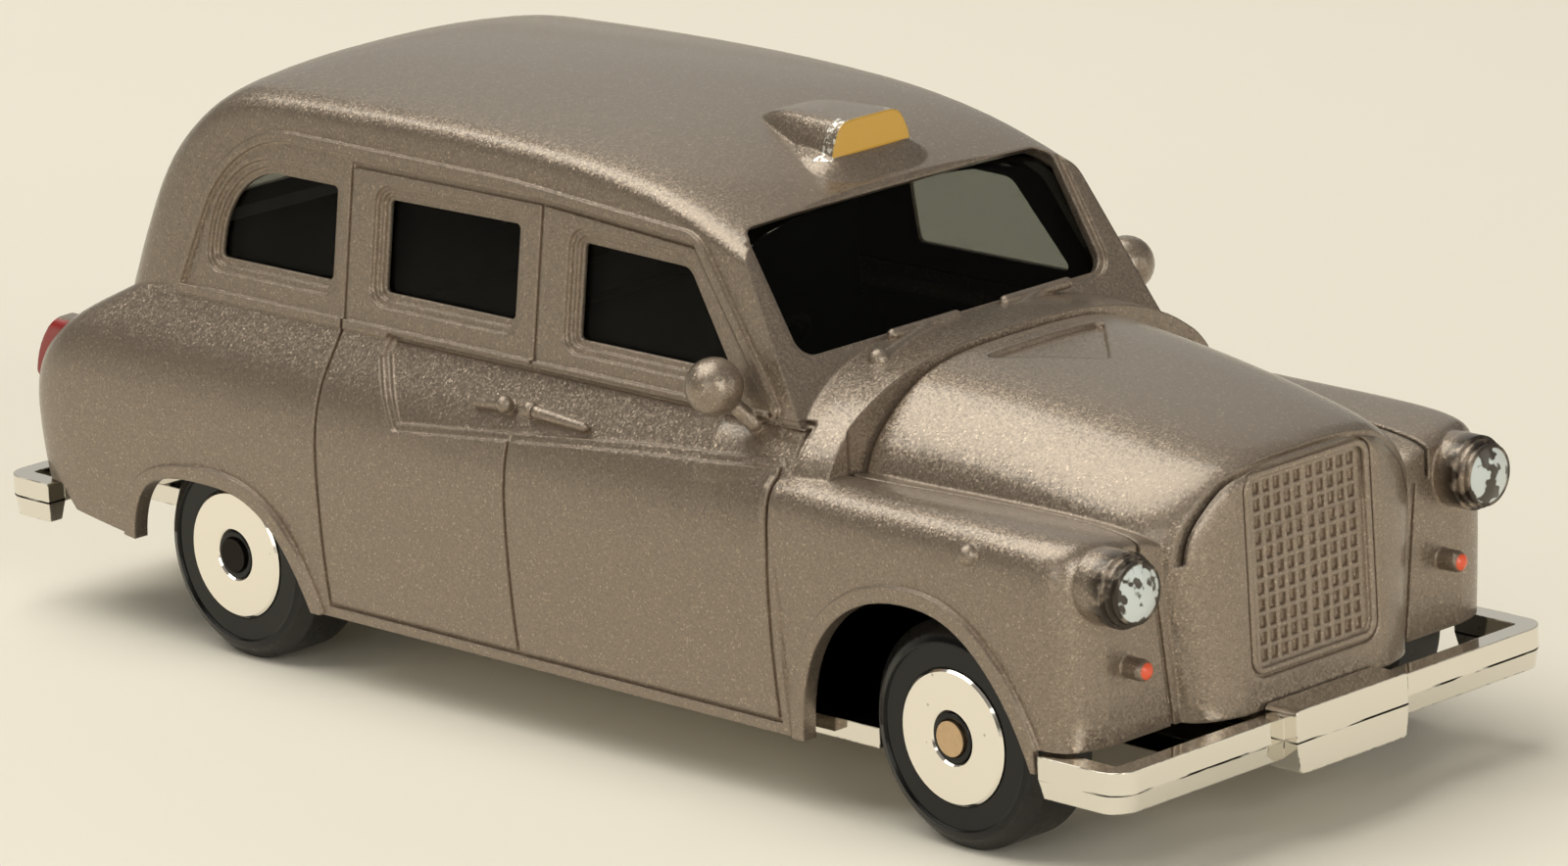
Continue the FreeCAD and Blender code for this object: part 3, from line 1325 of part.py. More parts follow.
def bumper(label, face, end, way, foot, lower, upper):
    """A bumper in one piece: a bar with rounded corners and a return along each side. Its lower
    half leans in below the crease."""
    half, depth = half_body - size("bumper_inset"), size("bumper_depth")
    corners = [(face, half), (end, half), (end, half - depth), (face - way * depth, half - depth)]
    corners += [(x, -y) for x, y in reversed(corners)]
    if way < 0:
        corners.reverse()
    bend = size("bumper_corner")
    bends = (bend, 0.0, 0.0, bend - depth, bend - depth, 0.0, 0.0, bend)
    corners = [(x, y, r) for (x, y), r in zip(corners, bends)]
    top = Part.Face(rounded(corners, 0.0, plan_view))
    top.translate(Vector(0, 0, foot + lower))
    crease = rounded(corners, 0.0, plan_view)
    crease.translate(Vector(0, 0, foot + lower))
    rim = rounded(corners, 0.0, plan_view, -size("bumper_tuck"))
    rim.translate(Vector(0, 0, foot))
    under = Part.makeLoft([rim, crease], True, True)
    return keep(label, top.extrude(Vector(0, 0, upper)).fuse(under).removeSplitter())


def plate_holder():
    """Block in the middle of the front bumper, its lower edge narrower than its top."""
    half, height = size("block_width") / 2, size("block_height")
    middle = size("bumper_foot_height") + size("bumper_lower")
    foot, top = middle - height / 2, middle + height / 2
    slant = size("bumper_tuck")
    corners = ((-half + slant, foot), (half - slant, foot), (half, middle), (half, top), (-half, top),
               (-half, middle))
    back = front_end - size("block_proud") - size("bumper_depth")
    return keep("plate_holder", prism(rounded(corners, size("seam_width"), end_view), Vector(back, 0, 0),
                                      Vector(front_end - back, 0, 0)))


def base():
    """Plated base: floor plate, axle cradles, arms and both bumpers, as one moulding."""
    bar_back = "(%s - Sizes.block_proud - Sizes.bumper_depth)" % FRONT_END
    arm = "(Sizes.bumper_arm_width / 2)"
    parts = [
        block("floor_plate", ("(%s + %s)" % (REAR, CLEAR), "(%s - %s)" % (FRONT, CLEAR)), both(PLATE_HALF),
              (PLATE_FOOT, PLATE_TOP)),
        block("spine", ("(%s - 2 * Sizes.post_head_radius)" % REAR_POST,
                        "(%s + 2 * Sizes.post_head_radius)" % FRONT_POST),
              both("(Sizes.neck_width / 2)"), (PLATE_FOOT, PLATE_TOP)),
        block("front_arm", (FRONT_POST, bar_back + " + Sizes.bumper_depth / 2"), both(arm),
              ("Sizes.bumper_foot_height", "(Sizes.bumper_foot_height + Sizes.base_thickness)")),
        block("rear_arm", ("(%s + Sizes.bumper_depth / 2)" % REAR_END, REAR_POST), both(arm),
              ("(Sizes.sill_height + Sizes.base_thickness / 2)",
               "(Sizes.rear_bumper_foot_height + Sizes.base_thickness)")),
    ]
    for end_name, place in (("rear", REAR), ("front", FRONT)):
        reach = "Sizes.cradle_length / 2"
        parts.append(block(end_name + "_cradle", ("(%s - %s)" % (place, reach), "(%s + %s)" % (place, reach)),
                           both(CRADLE_HALF), (PLATE_FOOT, CRADLE_TOP)))
    parts.append(bumper("front_bumper", front_end - size("block_proud"), front_end - size("block_proud")
                        - size("bumper_return"), 1, size("bumper_foot_height"), size("bumper_lower"),
                        size("bumper_upper")))
    parts.append(plate_holder())
    parts.append(bumper("rear_bumper", rear_end, rear_end + size("rear_bumper_return"), -1,
                        size("rear_bumper_foot_height"), size("rear_bumper_half"), size("rear_bumper_half")))
    tools = []
    for end_name, place in (("rear", REAR), ("front", FRONT)):
        tools.append(rod(end_name + "_axle_bore", "Sizes.axle_radius + Sizes.axle_fit", "Sizes.body_width",
                         (place, HALF, "Sizes.wheel_radius"), Rotation(Vector(1, 0, 0), 90)))
    for end_name, place in (("rear", REAR_POST), ("front", FRONT_POST)):
        tools.append(rod(end_name + "_post_hole", "Sizes.post_radius + Sizes.base_gap", "2 * Sizes.wheel_radius",
                         (place, "0", "0")))
        tools.append(rod(end_name + "_head_seat", "Sizes.post_head_radius + Sizes.base_gap",
                         "Sizes.post_head_thickness + Sizes.base_gap + Sizes.overrun",
                         (place, "0", PLATE_FOOT + " - Sizes.overrun")))
    tools.append(underside_panels())
    return cut_away("base", joined("base_forms", parts), tools)


def underside_panels():
    """Two sunk panels below the floor plate, in which sump, shaft and exhaust pipe stand up."""
    middle = "((%s + %s) / 2)" % (REAR, FRONT)
    border = "Sizes.relief_border"
    low = PLATE_FOOT + " - Sizes.overrun"
    depth = (low, PLATE_FOOT + " + Sizes.relief")
    width = both("(%s - %s)" % (PLATE_HALF, border))
    rear = block("rear_panel", ("(%s + %s + %s)" % (REAR, CLEAR, border), "(%s - %s)" % (middle, border)),
                 width, depth)
    front = block("front_panel", ("(%s + %s)" % (middle, border), "(%s - %s - %s)" % (FRONT, CLEAR, border)),
                  width, depth)
    lying = Rotation(Vector(0, 1, 0), 90)
    forms = []
    for label, radius, y in (("shaft", "Sizes.shaft_radius", "0"), ("exhaust", "Sizes.pipe_radius",
                                                                    "-(%s - Sizes.pipe_inset)" % HALF)):
        forms.append(rod(label, radius, "Sizes.wheelbase", (REAR, y, PLATE_FOOT + " + " + radius), lying))
    sump = "(%s - %s - 2 * %s)" % (FRONT, CLEAR, border)
    forms.append(block("sump", ("(%s - Sizes.sump_length)" % sump, sump), both("(Sizes.sump_width / 2)"), depth))
    return cut_away("underside", joined("panels", [rear, front]), forms)


def interior():
    """Black seat moulding: floor, sides, seats, partition, dash and steering wheel."""
    wall_term = "Sizes.tub_wall"
    narrow = "(%s - Sizes.side_play - Sizes.tub_gap)" % CRADLE_HALF
    along, across = (TUB_BACK, TUB_STEP), both(TUB_HALF)
    front_wall = "(%s - %s)" % (TUB_FRONT, wall_term)
    back_face = "(%s + Sizes.seat_back_thickness)" % TUB_BACK
    parts = [
        block("tub_floor", (TUB_STEP, TUB_FRONT), across, (TUB_FOOT, "(%s + %s)" % (TUB_FOOT, wall_term))),
        block("tub_front", (front_wall, TUB_FRONT), across, (TUB_FOOT, TUB_TOP)),
        block("tub_tunnel", along, both(narrow), ("(%s + Sizes.tub_gap)" % CRADLE_TOP, TYRE_CLEAR)),
        block("rear_seat", along, across, (TYRE_CLEAR, SEAT_TOP)),
        block("rear_seat_back", (TUB_BACK, back_face), across, (SEAT_TOP, TUB_TOP)),
        block("rear_seat_top", (TUB_BACK, back_face), both(TUB_UPPER), (TUB_TOP, SEAT_BACK_TOP)),
        block("rear_seat_front", ("(%s - %s)" % (TUB_STEP, wall_term), TUB_STEP), across, (TUB_FOOT, SEAT_TOP)),
        block("partition", (PARTITION, "(%s + %s)" % (PARTITION, wall_term)), across, (TUB_FOOT, TUB_TOP)),
        block("partition_top", (PARTITION, "(%s + %s)" % (PARTITION, wall_term)), both(TUB_UPPER),
              (TUB_TOP, "(%s + Sizes.partition_rise)" % WAIST)),
        block("dash", ("(%s - Sizes.seat_back_thickness)" % front_wall, TUB_FRONT), across, (SEAT_TOP, TUB_TOP)),
    ]
    for side_name, edges in (("left", ("(%s - %s)" % (TUB_HALF, wall_term), TUB_HALF)),
                             ("right", ("-" + TUB_HALF, "-(%s - %s)" % (TUB_HALF, wall_term)))):
        parts.append(block(side_name + "_side", (TUB_STEP, TUB_FRONT), edges, (TUB_FOOT, TUB_TOP)))
        parts.append(block(side_name + "_rear_side", along, edges, (TYRE_CLEAR, TUB_TOP)))
    near = "(%s - Sizes.front_seat_play)" % TUB_HALF
    seat = ("-" + near, "-(%s - Sizes.front_seat_width)" % near)
    seat_back = "(%s + Sizes.seat_back_thickness)" % PARTITION
    parts.append(block("driver_seat_back", (PARTITION, seat_back), seat, (TUB_FOOT, SEAT_BACK_TOP)))
    parts.append(block("driver_seat", (PARTITION, "(%s + Sizes.seat_depth)" % seat_back), seat,
                       (TUB_FOOT, SEAT_TOP)))
    return joined("interior", parts + steering("-(%s - Sizes.front_seat_width / 2)" % near))


def steering(across):
    """Steering wheel with one spoke, on a slanted column that rises from the dash."""
    tilt = Rotation(Vector(0, 0, 1), Vector(-1, 0, 1))
    hub = ("(%s - Sizes.steering_reach)" % TUB_FRONT, across, "(%s + Sizes.steering_rise)" % WAIST)
    rim = doc.addObject("Part::Torus", "steering_wheel")
    rim.Placement = Placement(Vector(), tilt)
    rim.setExpression("Radius1", "Sizes.steering_radius")
    rim.setExpression("Radius2", "Sizes.steering_rim_radius")
    for axis, term in zip("xyz", hub):
        rim.setExpression("Placement.Base." + axis, term)
    column = rod("steering_column", "1.5 * Sizes.steering_rim_radius", "Sizes.steering_reach", hub,
                 Rotation(Vector(0, 0, 1), Vector(1, 0, -1)))
    spoke = rod("steering_spoke", "Sizes.steering_rim_radius", "2 * Sizes.steering_radius",
                (hub[0], across + " + Sizes.steering_radius", hub[2]), Rotation(Vector(1, 0, 0), 90))
    return [rim, column, spoke]


pieces = [
    keep("body_shell", casting()),
    keep("glazing", glazing()),
    interior(),
    base(),
    axle("axle_front", FRONT),
    axle("axle_rear", REAR),
]
for end_name, axle_term in (("front", FRONT), ("rear", REAR)):
    for side_name, side in (("left", 1), ("right", -1)):
        place_name = "%s_%s" % (end_name, side_name)
        pieces.append(wheel("wheel_" + place_name, axle_term, side))
        pieces.append(wheel_disc("wheel_disc_" + place_name, axle_term, side))
doc.recompute()

for feature in doc.Objects:
    if "Invalid" in feature.State or "Error" in feature.State:
        raise RuntimeError("%s did not build: %s" % (feature.Label, feature.State))
for piece in pieces:
    if piece.Shape.isNull() or not piece.Shape.isValid() or len(piece.Shape.Solids) != 1:
        raise RuntimeError("%s is not one valid solid" % piece.Label)

for piece in pieces:
    piece.Shape.Solids[0].exportStep("parts/%s.step" % piece.Label)
    print("%s: %.1f cubic mm" % (piece.Label, piece.Shape.Volume))
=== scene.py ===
# %% [markdown]
# # A die-cast toy taxi
#
# The object is a pocket toy, 73 mm long. One hollow zinc casting carries thick silver paint, one
# smoked clear moulding closes its windows from inside, and a plated plastic base holds two steel
# axles with four black wheels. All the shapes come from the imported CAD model. This lesson is about
# finishes: how light shows which piece is paint, clear plastic, plating, foil or plain plastic.

# %% Load the model
import math

import bpy
from mathutils import Matrix, Vector


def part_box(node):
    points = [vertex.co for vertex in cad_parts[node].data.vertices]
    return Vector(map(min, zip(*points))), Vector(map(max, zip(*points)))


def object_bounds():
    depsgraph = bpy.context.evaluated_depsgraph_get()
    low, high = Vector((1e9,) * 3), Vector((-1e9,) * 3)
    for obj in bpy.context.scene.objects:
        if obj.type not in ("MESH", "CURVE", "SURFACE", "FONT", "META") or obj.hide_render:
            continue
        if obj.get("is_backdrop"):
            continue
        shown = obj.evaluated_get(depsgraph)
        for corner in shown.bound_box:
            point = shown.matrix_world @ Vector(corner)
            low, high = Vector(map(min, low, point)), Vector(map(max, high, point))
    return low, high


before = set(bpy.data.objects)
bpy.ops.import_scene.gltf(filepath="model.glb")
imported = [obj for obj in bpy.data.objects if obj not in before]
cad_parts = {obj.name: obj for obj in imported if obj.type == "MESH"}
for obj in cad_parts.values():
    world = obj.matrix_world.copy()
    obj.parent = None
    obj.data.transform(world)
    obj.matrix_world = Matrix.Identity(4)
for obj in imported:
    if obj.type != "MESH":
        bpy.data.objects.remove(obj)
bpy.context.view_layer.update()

print("nodes:", ", ".join(sorted(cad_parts)))

# %% [markdown]
# ## Three small tools
#
# Colours are chosen as sRGB hex values, as a paint chart gives them, and Blender works in linear
# light, so one function converts them. The second adds a node with its settings and its links,
# and the third starts a material. Materials can also be built by hand in the editor, but a script
# gives the same result each time. Real lengths are in millimetres, and MM makes them metres.

# %% Tools for colours and nodes
MM = 0.001


def hex_colour(code):
    """An sRGB hex value as linear light."""
    channels = [int(code[i:i + 2], 16) / 255 for i in (1, 3, 5)]
    linear = [c / 12.92 if c <= 0.04045 else ((c + 0.055) / 1.055) ** 2.4 for c in channels]
    return (*linear, 1.0)


def add(tree, kind, inputs=None, **settings):
    """Add a node. Inputs are values or sockets to link, by name or number."""
    node = tree.nodes.new(kind)
    for name, value in settings.items():
        setattr(node, name, value)
    for name, value in (inputs or {}).items():
        socket = node.inputs[name]
        if isinstance(value, bpy.types.NodeSocket):
            tree.links.new(value, socket)
        else:
            socket.default_value = value
    return node


def new_material(name):
    """An empty node material, its tree and its output node."""
    material = bpy.data.materials.new(name)
    material.use_nodes = True
    material.node_tree.nodes.clear()
    output = material.node_tree.nodes.new("ShaderNodeOutputMaterial")
    return material, material.node_tree, output


print("white is", hex_colour("#FFFFFF"))

# %% [markdown]
# ## The camera
#
# A toy photographed from close by with a long lens shows little perspective. The camera stands
# ahead and to the right of the toy, a little above it, and is rolled very slightly, as a camera
# held by hand is. It could be aimed by a constraint, but three angles keep the roll exact.

# %% Camera at the photograph's angle
PHOTO_WIDTH_PX, FOCAL_PX = 1600, 8471.06
SENSOR_MM = 36.0
CAMERA_PLACE = Vector((261.23, -246.48, 109.60)) * MM
AZIMUTH, ELEVATION, ROLL = (math.radians(angle) for angle in (46.37246, 15.33457, -2.84866))

camera_data = bpy.data.cameras.new("camera")
camera = bpy.data.objects.new("camera", camera_data)
bpy.context.scene.collection.objects.link(camera)
bpy.context.scene.camera = camera
camera_data.sensor_width = SENSOR_MM
camera_data.lens = SENSOR_MM * FOCAL_PX / PHOTO_WIDTH_PX
camera_data.clip_start, camera_data.clip_end = 10 * MM, 10.0

backwards = Vector((math.sin(AZIMUTH) * math.cos(ELEVATION),
                    -math.cos(AZIMUTH) * math.cos(ELEVATION),
                    math.sin(ELEVATION)))
level_right = Vector((0, 0, 1)).cross(backwards).normalized()
level_up = backwards.cross(level_right)
right = math.cos(ROLL) * level_right + math.sin(ROLL) * level_up
up = math.cos(ROLL) * level_up - math.sin(ROLL) * level_right
turn = Matrix((right, up, backwards)).transposed()
camera.matrix_world = Matrix.Translation(CAMERA_PLACE) @ turn.to_4x4()
print("lens", round(camera_data.lens, 1), "mm")

# %% [markdown]
# ## Paper floor
#
# The toy stands on a sheet of cream paper. A photograph of paper would do, but paper is so plain
# that a matt colour with a fine bump and a faint change of tone looks the same from any distance.
# Its fibres are about 0.02 mm wide, too fine to show, so they are drawn at 0.4 mm.

# %% Paper floor
PAPER_CREAM, PAPER_SHADE = hex_colour("#EDE7DB"), hex_colour("#EAE4D8")
FIBRE_MM, FIBRE_DEPTH_MM, CLOUD_MM = 0.4, 0.02, 60.0
FLOOR_M = 6.0

bpy.context.scene.view_settings.view_transform = "Standard"
bpy.ops.mesh.primitive_plane_add(size=FLOOR_M, location=(0, 0, 0))
floor = bpy.context.object
floor.name = "paper_floor"
floor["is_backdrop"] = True

# uncoated paper from a mill: a matt surface with no gloss, whose fibres only soften the light
paper, tree, output = new_material("cream_paper")
place = add(tree, "ShaderNodeTexCoord").outputs["Object"]
fibres = add(tree, "ShaderNodeTexNoise", {
    "Vector": place, "Scale": 1 / (FIBRE_MM * MM), "Detail": 3.0,
}).outputs[0]
clouds = add(tree, "ShaderNodeTexNoise", {
    "Vector": place, "Scale": 1 / (CLOUD_MM * MM), "Detail": 2.0,
}).outputs[0]
tone = add(tree, "ShaderNodeMix", {0: clouds, 6: PAPER_CREAM, 7: PAPER_SHADE}, data_type="RGBA")
grain = add(tree, "ShaderNodeBump", {
    "Strength": 0.1, "Distance": FIBRE_DEPTH_MM * MM, "Height": fibres,
})
matt = add(tree, "ShaderNodeBsdfPrincipled", {
    "Base Color": tone.outputs[2], "Roughness": 0.9, "Specular IOR Level": 0.2,
    "Normal": grain.outputs[0],
})
tree.links.new(matt.outputs[0], output.inputs["Surface"])
floor.data.materials.append(paper)
print("paper", floor.dimensions[0], "m")

# %% [markdown]
# ## The room
#
# Paint, plating and foil are glossy, so what they mirror matters as much as what lights them. The
# sides mirror the paper. The room is pale at the level of the table and dim above it, which keeps
# the windows dark and leaves dark bands on top of the bumpers. A picture of a real room could be
# wrapped round the scene, but three plain tones by height are enough and read nothing from disk.

# %% Room
WALL_PALE, ROOM_LOW, ROOM_HIGH = (hex_colour(code) for code in ("#DDD7C7", "#6A6660", "#908C86"))
ROOM_STRENGTH = 0.9
# heights at which a tone starts and is complete: 0 is the horizon and 1 is straight up
TONES = ((0.03, 0.2, ROOM_LOW), (0.2, 0.6, ROOM_HIGH))

room = bpy.data.worlds.new("room")
bpy.context.scene.world = room
room.use_nodes = True
tree = room.node_tree
direction = add(tree, "ShaderNodeTexCoord").outputs["Generated"]
height = add(tree, "ShaderNodeSeparateXYZ", {0: direction}).outputs[2]
walls = WALL_PALE
for start, end, shade in TONES:
    rise = add(tree, "ShaderNodeMapRange", {
        "Value": height, "From Min": start, "From Max": end,
    }, interpolation_type="SMOOTHSTEP").outputs[0]
    walls = add(tree, "ShaderNodeMix", {0: rise, 6: walls, 7: shade}, data_type="RGBA").outputs[2]
background = tree.nodes["Background"]
tree.links.new(walls, background.inputs["Color"])
background.inputs["Strength"].default_value = ROOM_STRENGTH
print("tones:", len(TONES) + 1)

# %% [markdown]
# ## Lamps
#
# One broad lamp hangs above and behind the toy, so that the shadow is soft and falls towards the
# camera. Weak lamps stand round it wherever the paint should mirror something pale: behind the
# roof, beside the wings and ahead of the nose. Square area lamps do what softboxes do in a studio.

# %% Lamps
LAMP_LIGHT = hex_colour("#FFFEF4")[:3]
# name, place in millimetres, width in millimetres and power in watts
LAMPS = (
    ("roof_lamp", (-230, -140, 660), 680, 4.5),
    ("left_lamp", (-380, 420, 300), 420, 0.22),
    ("right_lamp", (220, -540, 200), 280, 0.45),
    ("front_lamp", (560, -150, 200), 280, 1.2),
    ("nose_lamp", (500, 330, 120), 190, 0.20),
)
for name, spot, width, power in LAMPS:
    lamp = bpy.data.lights.new(name, "AREA")
    lamp.shape = "SQUARE"
    lamp.size = width * MM
    lamp.energy = power
    lamp.color = LAMP_LIGHT
    holder = bpy.data.objects.new(name, lamp)
    bpy.context.scene.collection.objects.link(holder)
    spot = Vector(spot) * MM
    aim = spot.to_track_quat("Z", "Y").to_matrix().to_4x4()
    holder.matrix_world = Matrix.Translation(spot) @ aim
print("lamps:", len(LAMPS))

# %% [markdown]
# ## Silver paint: soft edges, and painted light in the hollows
#
# A toy this small is sprayed with one thick coat, so its edges look soft and its grooves look half
# filled. The mesh could be rounded and filled, but a Bevel node rounds the normals over a fifth of
# a millimetre without touching it. The hollows are painted paler: painted light that lifts the
# shade falling in them, and an Ambient Occlusion node finds them.

# %% Soft edges and hollows
EDGE_MM, HOLLOW_MM = 0.18, 0.55
HOLLOW_LIGHT_GAIN = 1.45

# sprayed metallic lacquer on zinc: a grey that sparkles inside and shines softly on top
silver, paint_tree, paint_output = new_material("silver_lacquer")
place = add(paint_tree, "ShaderNodeTexCoord").outputs["Object"]
place_mm = add(paint_tree, "ShaderNodeVectorMath", {0: place, "Scale": 1 / MM},
               operation="SCALE").outputs[0]
soft_edge = add(paint_tree, "ShaderNodeBevel", {"Radius": EDGE_MM * MM}, samples=4).outputs[0]
openness = add(paint_tree, "ShaderNodeAmbientOcclusion", {"Distance": HOLLOW_MM * MM},
               samples=6).outputs["AO"]
# painted light: the paint colour is raised in hollows, to lift the shade that falls there
hollow_painted_light = add(paint_tree, "ShaderNodeMapRange", {
    "Value": openness, "From Min": 0.25, "From Max": 0.8, "To Min": HOLLOW_LIGHT_GAIN, "To Max": 1.0,
}).outputs[0]
print("soft over", EDGE_MM, "mm")

# %% [markdown]
# ## Silver paint: its flakes
#
# The paint is a warm grey lacquer full of aluminium flakes. Each flake tilts its own way, and a
# few of them are painted brighter, as painted glints. Noise would give soft clouds, so each flake
# is one cell of a Voronoi texture, with one random colour. Real flakes are about 0.03 mm across,
# too fine to show here, so they are drawn at 0.08 mm.

# %% Flakes
FLAKE_MM = 0.08
BODY_SILVER = hex_colour("#8F8173")[:3]
DULL_FLAKE, BRIGHT_FLAKE, PAINTED_GLINT_GAIN = 0.82, 1.12, 0.5

flakes = add(paint_tree, "ShaderNodeTexVoronoi", {"Vector": place_mm, "Scale": 1 / FLAKE_MM})
draws = add(paint_tree, "ShaderNodeSeparateColor", {0: flakes.outputs["Color"]}).outputs
flake_tone = add(paint_tree, "ShaderNodeMapRange", {
    "Value": draws[0], "To Min": DULL_FLAKE, "To Max": BRIGHT_FLAKE,
}).outputs[0]
# painted glints: a few flakes are painted brighter in their colour, whatever the light
painted_glint = add(paint_tree, "ShaderNodeMapRange", {
    "Value": draws[1], "From Min": 0.93, "From Max": 0.97, "To Max": PAINTED_GLINT_GAIN,
}).outputs[0]
flake_tone_and_glint = add(paint_tree, "ShaderNodeMath", {0: flake_tone, 1: painted_glint},
                  operation="ADD").outputs[0]
shaded = add(paint_tree, "ShaderNodeMath", {0: flake_tone_and_glint, 1: hollow_painted_light},
             operation="MULTIPLY").outputs[0]
paint_colour = add(paint_tree, "ShaderNodeVectorMath", {0: BODY_SILVER, "Scale": shaded},
                   operation="SCALE").outputs[0]
print("flakes of", FLAKE_MM, "mm")

# %% [markdown]
# ## Tools for the prints
#
# Lamps, indicators and the roof sign are forms of the casting with a dab of colour printed on
# them. They could be separate pieces, but on the toy they are not. Each print is found by the
# place of the surface, on object coordinates, and what is on the right side is mirrored on the
# left.

# %% Tools for the prints
own = add(paint_tree, "ShaderNodeSeparateXYZ", {0: place_mm}).outputs
side = add(paint_tree, "ShaderNodeMath", {0: own[1]}, operation="ABSOLUTE").outputs[0]
mirrored = add(paint_tree, "ShaderNodeCombineXYZ", {0: own[0], 1: side, 2: own[2]}).outputs[0]


def near_point(point, radius, soft):
    """1 within a distance of a point, on either side of the car, and 0 outside."""
    gap = add(paint_tree, "ShaderNodeVectorMath", {0: mirrored, 1: point},
              operation="DISTANCE").outputs["Value"]
    return add(paint_tree, "ShaderNodeMapRange", {
        "Value": gap, "From Min": radius - soft, "From Max": radius + soft,
        "To Min": 1.0, "To Max": 0.0,
    }).outputs[0]


def in_box(low, high):
    """1 inside a box given by two corners, on either side of the car, and 0 outside."""
    inside = None
    for value, start, end in zip((own[0], side, own[2]), low, high):
        middle, half = (start + end) / 2, (end - start) / 2
        hit = add(paint_tree, "ShaderNodeMath", {0: value, 1: middle, 2: half},
                  operation="COMPARE").outputs[0]
        inside = hit if inside is None else add(paint_tree, "ShaderNodeMath", {0: inside, 1: hit},
                                                operation="MULTIPLY").outputs[0]
    return inside


print("prints are placed in millimetres")

# %% [markdown]
# ## Where each print lies
#
# The headlamps and indicators are round, so each needs one point and a radius. The tail lamps,
# the sign and the grille need a box. Colour could be painted by hand on an unwrapped picture, but
# measured places follow the casting and stay sharp from close by.

# %% Places of the prints
HEADLAMP_FACE = Vector((34.75, 10.95, 12.5))
RING_SETBACK = Vector((0.5, 0, 0))
GLASS_RADIUS_MM, RING_TO_GLASS = 1.21, 1.5

headlamp_glass = near_point(HEADLAMP_FACE, GLASS_RADIUS_MM, soft=0.03)
headlamp_ring = near_point(HEADLAMP_FACE - RING_SETBACK, GLASS_RADIUS_MM * RING_TO_GLASS,
                           soft=0.15)
indicator = near_point((34.25, 9.85, 8.75), radius=0.46, soft=0.04)
# each box is given by its rear, inner, low corner and its front, outer, high one
tail_lamp = in_box((-40.0, 10.25, 10.9), (-32.0, 11.95, 13.9))
sign_face = in_box((9.02, -1.0, 25.62), (9.3, 2.6, 27.4))
sign_edge = in_box((8.35, 1.25, 25.5), (9.09, 3.0, 27.4))
grille = in_box((32.0, -1.0, 6.9), (36.0, 4.1, 16.0))
print("prints: headlamps, indicators, tail lamps and sign")

# %% [markdown]
# ## How the prints are worn
#
# A small pad can't reach into every corner, and what it leaves rubs off. The headlamp glasses are
# bluish white with dark spots, their rings are smeared with black, and the near edges of the sign
# carry near-white specks. One noise makes both the spots and the smears, so that they belong
# together.

# %% Worn prints
HEADLAMP_WHITE, HEADLAMP_DARK = hex_colour("#C9D0CF"), hex_colour("#33291F")
BLOTS_PER_MM, GLINTS_PER_MM = 1.15, 4.0

blots = add(paint_tree, "ShaderNodeTexNoise", {
    "Vector": place_mm, "Scale": BLOTS_PER_MM, "Detail": 2.0,
}).outputs[0]
spots = add(paint_tree, "ShaderNodeMapRange", {
    "Value": blots, "From Min": 0.50, "From Max": 0.54,
}).outputs[0]
glass_print = add(paint_tree, "ShaderNodeMix", {0: spots, 6: HEADLAMP_WHITE, 7: HEADLAMP_DARK},
                  data_type="RGBA").outputs[2]
smear = add(paint_tree, "ShaderNodeMapRange", {
    "Value": blots, "From Min": 0.36, "From Max": 0.50,
}).outputs[0]
ring_wash = add(paint_tree, "ShaderNodeMath", {0: headlamp_ring, 1: smear},
                operation="MULTIPLY").outputs[0]
glints = add(paint_tree, "ShaderNodeTexNoise", {"Vector": place_mm, "Scale": GLINTS_PER_MM})
speck_pattern = add(paint_tree, "ShaderNodeMapRange", {
    "Value": glints.outputs[0], "From Min": 0.47, "From Max": 0.56,
}).outputs[0]
# near-white specks along the side edges of the sign
sign_edge_specks = add(paint_tree, "ShaderNodeMath", {0: sign_edge, 1: speck_pattern},
                operation="MULTIPLY").outputs[0]
print("spots of about", round(1 / BLOTS_PER_MM, 1), "mm")

# %% [markdown]
# ## Prints over paint
#
# The prints go on one after another, as on the toy, so the last one lies on top. The grille is
# painted a little paler, as painted light that lifts the shade in its small holes. Printed ink has
# no flakes, so a last mask keeps them for the bare paint.

# %% Lay the prints over the paint
INDICATOR_ORANGE, TAIL_RED = hex_colour("#E2532B"), hex_colour("#8E1717")
SIGN_YELLOW, SPECK_WHITE = hex_colour("#CFA036"), hex_colour("#F2EFE8")
GRILLE_LIGHT_GAIN = 1.1
LAYERS = (
    (ring_wash, HEADLAMP_DARK), (sign_edge_specks, SPECK_WHITE), (headlamp_glass, glass_print),
    (indicator, INDICATOR_ORANGE), (tail_lamp, TAIL_RED), (sign_face, SIGN_YELLOW),
)

# painted light: the whole grille box is painted paler, to lift the shade in its small holes
grille_painted_light = add(paint_tree, "ShaderNodeMapRange", {
    "Value": grille, "To Min": 1.0, "To Max": GRILLE_LIGHT_GAIN,
}).outputs[0]
colour = add(paint_tree, "ShaderNodeVectorMath", {0: paint_colour, "Scale": grille_painted_light},
             operation="SCALE").outputs[0]
for mask, print_colour in LAYERS:
    colour = add(paint_tree, "ShaderNodeMix", {0: mask, 6: colour, 7: print_colour},
                 data_type="RGBA").outputs[2]
printed = headlamp_glass
for mask in (indicator, tail_lamp, sign_face):
    printed = add(paint_tree, "ShaderNodeMath", {0: printed, 1: mask},
                  operation="MAXIMUM").outputs[0]
unprinted = add(paint_tree, "ShaderNodeMath", {0: 1.0, 1: printed},
                operation="SUBTRACT").outputs[0]
print("layers:", len(LAYERS))

# %% [markdown]
# ## Silver paint: metal under a clear coat
#
# The finished paint is mostly metal under a thin clear coat with a faint orange peel. Flakes turn
# the metal's normals, and not those of the coat, so the highlights sparkle inside and stay smooth
# on top. Bump alone would make the coat look sandy.

# %% Silver paint shader
PEEL_MM, PEEL_DEPTH_MM = 1.1, 0.03
FLAKE_TILT, PAINT_METAL = 0.24, 0.8

